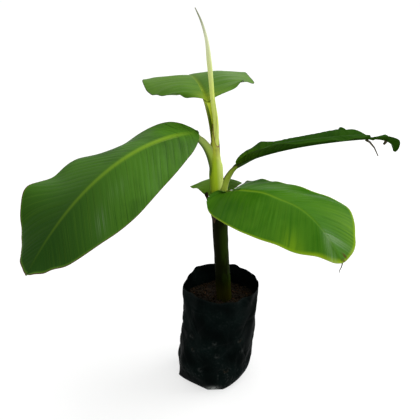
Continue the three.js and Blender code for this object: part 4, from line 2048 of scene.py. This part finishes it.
@dataclass(frozen=True)
class Studio:
    """Plain pale floor, soft light and the camera of the photograph."""

    camera_place: Place = (-5.7, -709.2, 576.4)
    pitch_down: float = 25.4
    focal_pixels: float = 650.0
    picture_pixels: int = 420
    sensor: float = 36.0
    floor_half: float = 6.0
    floor_colour: Colour = (0.42, 0.42, 0.42)
    floor_glow: float = 0.55
    horizon: float = 0.42
    zenith: float = 1.4
    lamp_place: Place = (1.42, 0.45, 1.4)
    lamp_aim: Place = (0.0, 0.0, 0.25)
    lamp_size: float = 1.4
    lamp_power: float = 26.0

    def build(self) -> None:
        """Makes the camera, the floor, the sky and the lamp."""
        scene = bpy.context.scene
        scene.camera = self.camera()
        scene.view_settings.view_transform = "Standard"
        self.floor()
        scene.world = self.sky()
        self.lamp()

    def camera(self) -> Object:
        """Makes the camera.

        Returns:
            The camera.
        """
        lens = bpy.data.cameras.new("camera")
        lens.sensor_width = self.sensor
        lens.lens = self.focal_pixels / self.picture_pixels * self.sensor
        camera = link("camera", lens)
        camera.location = [value * MM for value in self.camera_place]
        camera.rotation_euler = (math.radians(90 - self.pitch_down), 0, 0)
        return camera

    def floor(self) -> None:
        """Lays the floor, which isn't part of the plant."""
        mesh = bpy.data.meshes.new("floor")
        reach = self.floor_half
        corners = [(-reach, -reach, 0), (reach, -reach, 0), (reach, reach, 0), (-reach, reach, 0)]
        mesh.from_pydata(corners, [], [(0, 1, 2, 3)])
        glow = {"Emission_Color": (1.0, 1.0, 1.0), "Emission_Strength": self.floor_glow}
        mesh.materials.append(Recipe("pale_floor", self.floor_colour).done(0.9, 0.1, **glow))
        floor = link("floor", mesh)

    def sky(self) -> bpy.types.World:
        """Makes a sky that lights most from overhead, and shows plain white behind the plant.

        Returns:
            The sky.
        """
        world = bpy.data.worlds.new("sky")
        world.use_nodes = True
        sky = NodeTree(world.node_tree)
        way = sky.add("ShaderNodeTexCoord").outputs["Generated"]
        height = sky.add("ShaderNodeSeparateXYZ", {0: way}).outputs["Z"]
        grades = {"Value": height, "To Min": self.horizon, "To Max": self.zenith}
        light = sky.get("ShaderNodeMapRange", grades, interpolation_type="SMOOTHSTEP")
        seen = sky.add("ShaderNodeLightPath").outputs["Is Camera Ray"]
        background = world.node_tree.nodes["Background"]
        strength = sky.get("ShaderNodeMix", {"Factor": seen, "A": light, "B": 1.0})
        sky.put(background.inputs["Strength"], strength)
        sky.put(background.inputs["Color"], (1.0, 1.0, 1.0))
        return world

    def lamp(self) -> None:
        """Hangs a soft square lamp that faces the plant."""
        light = bpy.data.lights.new("window_right", "AREA")
        light.size = self.lamp_size
        light.energy = self.lamp_power
        lamp = link("window_right", light)
        lamp.location = self.lamp_place
        x, y, z = np.array(self.lamp_aim) - np.array(self.lamp_place)
        lamp.rotation_euler = (math.atan2(math.hypot(x, y), -z), 0, math.atan2(-x, y))


OLD_LIMB = LimbFinish(
    foot=(0.26, 0.33, 0.04), body=(0.18, 0.26, 0.02), wing=(0.035, 0.012, 0.012), back=(0.03, 0.075, 0.009),
)

LEAVES = (
    Leaf(
        name="top", base=(-8.4, 10.8, 371.5), heading=105.5, swing=-2.0, slope=(25.5, -47.0), bend=0.9,
        roll=(15.0, -2.0), length=190.0, half=63.0, sweep=0.38,
        left=HalfBlade(
            fold=(0.0, 10.5), curl=10.0, widest=0.41, point=1.9, share=0.96, rounding=12.0, corner=2.2,
            swells=(
                Swell(0.012, 0.008, up=2.5), Swell(0.043, 0.011, up=-3.6), Swell(0.066, 0.012, up=1.5),
                Swell(0.12, 0.045, up=-4.6), Swell(0.2, 0.03, up=-2.0), Swell(0.24, 0.14, up=-15.0),
                Swell(0.41, 0.07, out=0.5), Swell(0.53, 0.06, out=-3.0, up=1.0), Swell(0.8, 0.2, up=6.0),
            ),
        ),
        right=HalfBlade(
            fold=(-43.0, 7.0), curl=39.0, widest=0.41, point=1.9, share=1.09, wave=Wave(0.6, 3.2, 2.2),
            rounding=6.0,
            swells=(
                Swell(0.071, 0.02, up=7.0), Swell(0.2, 0.07, out=9.0, up=-4.0), Swell(0.46, 0.12, up=9.0),
            ),
        ),
        petiole=Petiole(leaves=300.0, lift=40.0, ease=8.0, half=(4.8, 4.7), depth=(4.8, 4.4)),
        finish=LeafFinish(
            body=(0.084, 0.18, 0.018), deep=(0.05, 0.13, 0.008), rib=(0.12, 0.2, 0.005),
            # The near-black margin line is partly painted shade under the curled margin.
            margin=(0.065, 0.15, 0.012), line=(0.014, 0.024, 0.003), back=(0.07, 0.14, 0.02), gloss=0.035,
            pale=(0.22, 0.29, 0.015),
        ),
        rib_half=(2.8, 0.8),
        marks=(
            Mark(Patch.PALE, 0.0, 0.0, (13.0, 11.0)), Mark(Patch.BLOOM, 0.3, -0.75, (40.0, 26.0), 0.75),
        ),
        limb=LimbFinish(
            foot=(0.42, 0.5, 0.028), body=(0.36, 0.45, 0.028), wing=(0.14, 0.15, 0.012),
            back=(0.22, 0.3, 0.016),
        ),
    ),
    Leaf(
        name="left", base=(-20.0, -3.8, 339.8), heading=218.7, swing=18.0, slope=(13.0, -44.5), bend=0.76,
        roll=(-17.0, -3.5), length=262.0, half=56.3, foot=0.16, heel=1.56, sweep=0.9,
        left=HalfBlade(
            fold=(17.7, 18.3), curl=18.7, widest=0.55, point=1.93, rounding=20.0, lobe=7.0,
            swells=(
                Swell(0.1, 0.1, out=-3.0), Swell(0.82, 0.14, out=-3.5), Swell(0.95, 0.03, out=-4.0),
                Swell(0.985, 0.015, out=-4.0), Swell(0.97, 0.06, up=3.0),
            ),
        ),
        right=HalfBlade(
            fold=(14.6, 5.9), curl=9.0, widest=0.64, point=2.1, share=1.06, wave=Wave(12.3, 1.48, 1.71),
            flutter=Wave(5.5, 3.04, -0.4), lobe=7.0,
            swells=(
                Swell(0.06, 0.07, up=3.5), Swell(0.4, 0.07, up=-5.0), Swell(0.6, 0.045, up=-5.0),
                Swell(0.71, 0.05, out=-1.5, up=6.0), Swell(0.82, 0.09, out=-4.0), Swell(0.76, 0.05, up=2.5),
                Swell(0.93, 0.08, out=-12.8), Swell(0.985, 0.02, out=-2.5),
            ),
        ),
        rib_half=(5.0, 0.9), rib_fade=(0.9, 0.0), rib_start=0.22,
        petiole=Petiole(
            leaves=282.0, lift=26.0, ease=5.0, half=(8.0, 6.0), depth=(9.0, 7.5), sunk=2.2, groove=0.25,
            narrow=0.5,
        ),
        finish=LeafFinish(
            body=(0.05, 0.145, 0.009), deep=(0.008, 0.036, 0.0015), rib=(0.2, 0.33, 0.012),
            margin=(0.06, 0.14, 0.01), line=(0.06, 0.03, 0.012), back=(0.075, 0.16, 0.035), fade=0.95,
            cloud=0.6, gloss=0.05,
        ),
        # The pale grey-green body stands partly for the petiole's sheen: painted sheen over its own colour.
        limb=LimbFinish(foot=(0.34, 0.48, 0.026), body=(0.33, 0.44, 0.11), wing=(0.26, 0.3, 0.1)),
        marks=(
            Mark(Patch.BLOOM, 0.55, 0.6, (9.0, 9.0), 0.3), Mark(Patch.BLOOM, 0.45, 0.4, (12.0, 7.0), 0.15),
        ),
    ),
    Leaf(
        name="right", base=(25.7, 13.2, 292.4), heading=18.0, swing=6.0, slope=(22.5, -7.0), bend=0.41,
        hook=80.0, roll=(-14.0, -28.0), length=236.0, half=36.4, foot=0.28, sweep=0.64,
        neck=Neck(0.815, 0.93, 0.08),
        left=HalfBlade(
            fold=(-48.0, -75.0), curl=90.0, widest=0.44, point=1.52, wave=Wave(0.8, 3.2, 2.8),
            rounding=26.0,
            swells=(
                Swell(0.05, 0.06, up=-3.0), Swell(0.2, 0.05, up=7.5), Swell(0.645, 0.02, up=1.5),
                Swell(0.67, 0.008, up=4.5), Swell(0.75, 0.05, up=1.5), Swell(0.875, 0.035, up=-1.8),
                Swell(0.955, 0.04, out=3.0),
            ),
        ),
        right=HalfBlade(
            fold=(-59.0, -26.0), curl=81.0, widest=0.44, point=1.52, wave=Wave(0.4, 3.2, 0.2),
            rounding=46.0,
            swells=(
                Swell(0.2, 0.06, up=4.0), Swell(0.68, 0.05, up=-2.0), Swell(0.785, 0.035, up=-3.2),
                Swell(0.94, 0.06, out=2.0),
            ),
        ),
        rib_half=(2.6, 0.8), rib_depth=(2.0, 0.6), sag=(Swell(0.22, 0.3, up=1.2),),
        petiole=Petiole(
            leaves=240.0, lift=26.0, ease=10.0, half=(7.4, 5.2), depth=(7.4, 4.8), groove=0.3, roll=42.0,
            lean=(1.0, -14.0),
        ),
        strands=(
            Strand(0.757, ((0, 0, -1), (5.5, -1, -4), (12, -1, -11.5), (18, -1, -23)), (1.7, 0.7)),
            Strand(0.89, ((1, -1, 0), (0, -1.5, -2.5), (-2, -1.5, -5)), (2.4, 1.5)),
        ),
        # The blade's very dark green is partly its own colour and partly painted shade on the face turned
        # down and away from the light.
        finish=LeafFinish(
            body=(0.017, 0.06, 0.002), deep=(0.008, 0.034, 0.001), rib=(0.05, 0.11, 0.004),
            margin=(0.018, 0.06, 0.002), line=(0.016, 0.045, 0.002), back=(0.014, 0.05, 0.0015), gloss=0.01,
            roughness=0.6, pale=(0.045, 0.11, 0.004),
        ),
        marks=(Mark(Patch.PALE, 0.02, 0.0, (26.0, 30.0), 0.9),), limb=OLD_LIMB, edge_wave=0.9,
    ),
    Leaf(
        name="front", base=(12.6, -12.7, 269.0), heading=314.5, swing=-9.5, slope=(29.0, -48.5), bend=1.23,
        roll=(18.0, 10.5), length=193.0, half=55.5, foot=0.26, sweep=0.81,
        left=HalfBlade(
            fold=(14.0, 14.5), curl=20.0, widest=0.56, point=2.25, share=1.09, wave=Wave(5.5, 1.26, 1.87),
            swells=(
                Swell(-0.035, 0.03, up=3.0), Swell(0.08, 0.03, up=2.1), Swell(0.134, 0.025, up=-1.6),
                Swell(0.225, 0.05, up=-1.0), Swell(0.34, 0.07, up=1.9), Swell(0.69, 0.07, out=5.0),
                Swell(0.9, 0.07, out=-5.5), Swell(0.98, 0.03, out=-4.0),
            ),
            start=13.0, rounding=1.5, back=60.0,
        ),
        right=HalfBlade(
            fold=(10.5, 3.5), curl=18.5, widest=0.41, point=1.83,
            swells=(
                Swell(0.026, 0.022, out=-4.5), Swell(0.08, 0.06, out=1.0), Swell(0.58, 0.2, out=4.0),
                Swell(0.84, 0.08, out=1.5), Swell(0.93, 0.06, out=-6.0),
            ),
            rounding=3.0, corner=3.0, lobe_lift=14.0, lobe=17.5,
        ),
        strands=(Strand(1.0, ((0, 0, 0), (-1, -1, -4), (-2.5, -1, -8), (-2, 0, -11)), (0.7, 0.25)),),
        rib_half=(2.4, 0.7), rib_fade=(1.0, 0.0),
        sag=(Swell(0.22, 0.1, up=-2.5), Swell(0.44, 0.15, up=-5.4)), rib_start=0.2,
        petiole=Petiole(leaves=232.0, lift=22.0, ease=8.0, half=(6.0, 3.4), depth=(6.0, 4.6)),
        finish=LeafFinish(
            body=(0.05, 0.15, 0.007), deep=(0.022, 0.1, 0.002), rib=(0.17, 0.29, 0.012),
            margin=(0.17, 0.28, 0.005), line=(0.2, 0.28, 0.02), back=(0.09, 0.18, 0.035), margin_width=3.0,
            gloss=0.025, bloom=(0.42, 0.5, 0.36), pale=(0.14, 0.27, 0.006),
        ),
        limb=LimbFinish(foot=(0.34, 0.48, 0.026), body=(0.19, 0.3, 0.02), wing=(0.13, 0.13, 0.02)),
        marks=(
            Mark(Patch.SPOT, 0.93, 0.14, (3.0, 1.6)), Mark(Patch.SPOT, 0.985, 0.06, (3.6, 1.8)),
            Mark(Patch.SPOT, 0.97, -0.1, (2.0, 1.5)), Mark(Patch.PALE, 0.6, -0.75, (14.0, 14.0), 0.8),
            Mark(Patch.PALE, 0.78, 0.8, (36.0, 20.0), 0.7), Mark(Patch.PALE, 0.92, -0.5, (16.0, 16.0), 0.6),
            # The next two marks paint a sheen near the tip.
            Mark(Patch.BLOOM, 0.84, 0.05, (8.0, 13.0)), Mark(Patch.BLOOM, 0.9, -0.25, (9.0, 10.0)),
        ),
    ),
    Leaf(
        name="small", base=(4.0, 11.5, 257.5), heading=93.0, swing=-7.0, slope=(13.5, -57.0), length=118.0,
        half=34.0, heel=1.8, sweep=0.58,
        left=HalfBlade(
            fold=(14.5, 0.5), curl=24.0, point=1.85, share=1.02, lobe=1.5,
            swells=(
                Swell(0.0, 0.03, up=-7.0), Swell(0.04, 0.03, up=-3.0), Swell(0.15, 0.1, up=4.0),
                Swell(0.42, 0.07, out=3.0, up=3.5),
            ),
        ),
        right=HalfBlade(fold=(-1.0, 12.5), curl=12.0, point=1.85, lobe=1.5),
        petiole=Petiole(leaves=222.0, lift=22.0, ease=6.0, half=(5.0, 2.6), depth=(5.0, 3.6)),
        finish=LeafFinish(
            body=(0.095, 0.2, 0.014), deep=(0.035, 0.09, 0.003), rib=(0.15, 0.25, 0.015),
            margin=(0.11, 0.16, 0.01), line=(0.12, 0.12, 0.02), back=(0.085, 0.17, 0.035), cloud=0.5,
            fade=0.2, gloss=0.02, roughness=0.55,
        ),
        # The right half lies under a painted shadow of the petioles above it.
        marks=(Mark(Patch.DEEP, 0.3, -0.5, (40.0, 16.0)),), limb=OLD_LIMB,
    ),
)


@dataclass(frozen=True)
class StarterPlant:
    """The whole plant in its bag."""

    leaves: tuple[Leaf, ...] = LEAVES
    stem: Pseudostem = Pseudostem(exits=tuple((leaf.heading, leaf.petiole.leaves) for leaf in LEAVES))
    spear: Spear = Spear()
    dry_sheath: DrySheath = DrySheath()
    bag: GrowBag = GrowBag()
    soil: SoilFill = SoilFill()

    def build_pot(self) -> None:
        """Makes the bag, its soil and what lies on the soil."""
        seat(self.bag.build(FilmFinish()), "bag_film", "grow_bag")
        soil = self.soil.build(self.bag, self.stem, SoilFinish())
        seat(soil, "soil", "soil")
        crumbs = Crumbs().tree(SoilFinish().material("soil_crumbs"))
        seat(crumbs.run(soil, "soil_crumbs"), "soil")
        bits = SoilFinish(dark=(0.018, 0.008, 0.003), light=(0.12, 0.045, 0.012))
        fibres = Fibres().tree(bits.material("soil_bits"))
        seat(fibres.run(soil, "soil_fibres"), "soil")

    def build_stem(self) -> None:
        """Makes the stem, the spear and the dry scrap on it."""
        seat(self.stem.build(self.spear, StemFinish()), "stem", "pseudostem")
        seat(self.spear.build(SpearFinish()), "spear", "spear_leaf")
        seat(self.dry_sheath.build(self.stem, DryFinish()), "dry_sheath", "dry_sheath")

    def build_leaves(self) -> None:
        """Makes each leaf: its limb, its blade, the veins under it and its torn strips."""
        torn = DryFinish(pale=(0.09, 0.07, 0.03), dark=(0.03, 0.028, 0.012))
        for leaf in self.leaves:
            seat(leaf.build_limb(self.stem), "petiole", f"petiole_{leaf.name}")
            grid = leaf.blade_grid(self.stem)
            blade = leaf.build_blade(grid)
            seat(blade, "leaf_blade", f"blade_{leaf.name}")
            seat(leaf.build_veins(grid, blade.data.materials[0]), "leaf_blade")
            if leaf.strands:
                seat(leaf.build_strands(torn), "dry_sheath")


def main() -> None:
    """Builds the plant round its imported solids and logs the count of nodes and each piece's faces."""
    logging.basicConfig(level=logging.INFO, format="%(message)s")
    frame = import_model()
    LOG.info("frame with %d nodes", len(frame["nodes"]))
    Studio().build()
    plant = StarterPlant()
    plant.build_pot()
    plant.build_stem()
    plant.build_leaves()


if __name__ == "__main__":
    main()
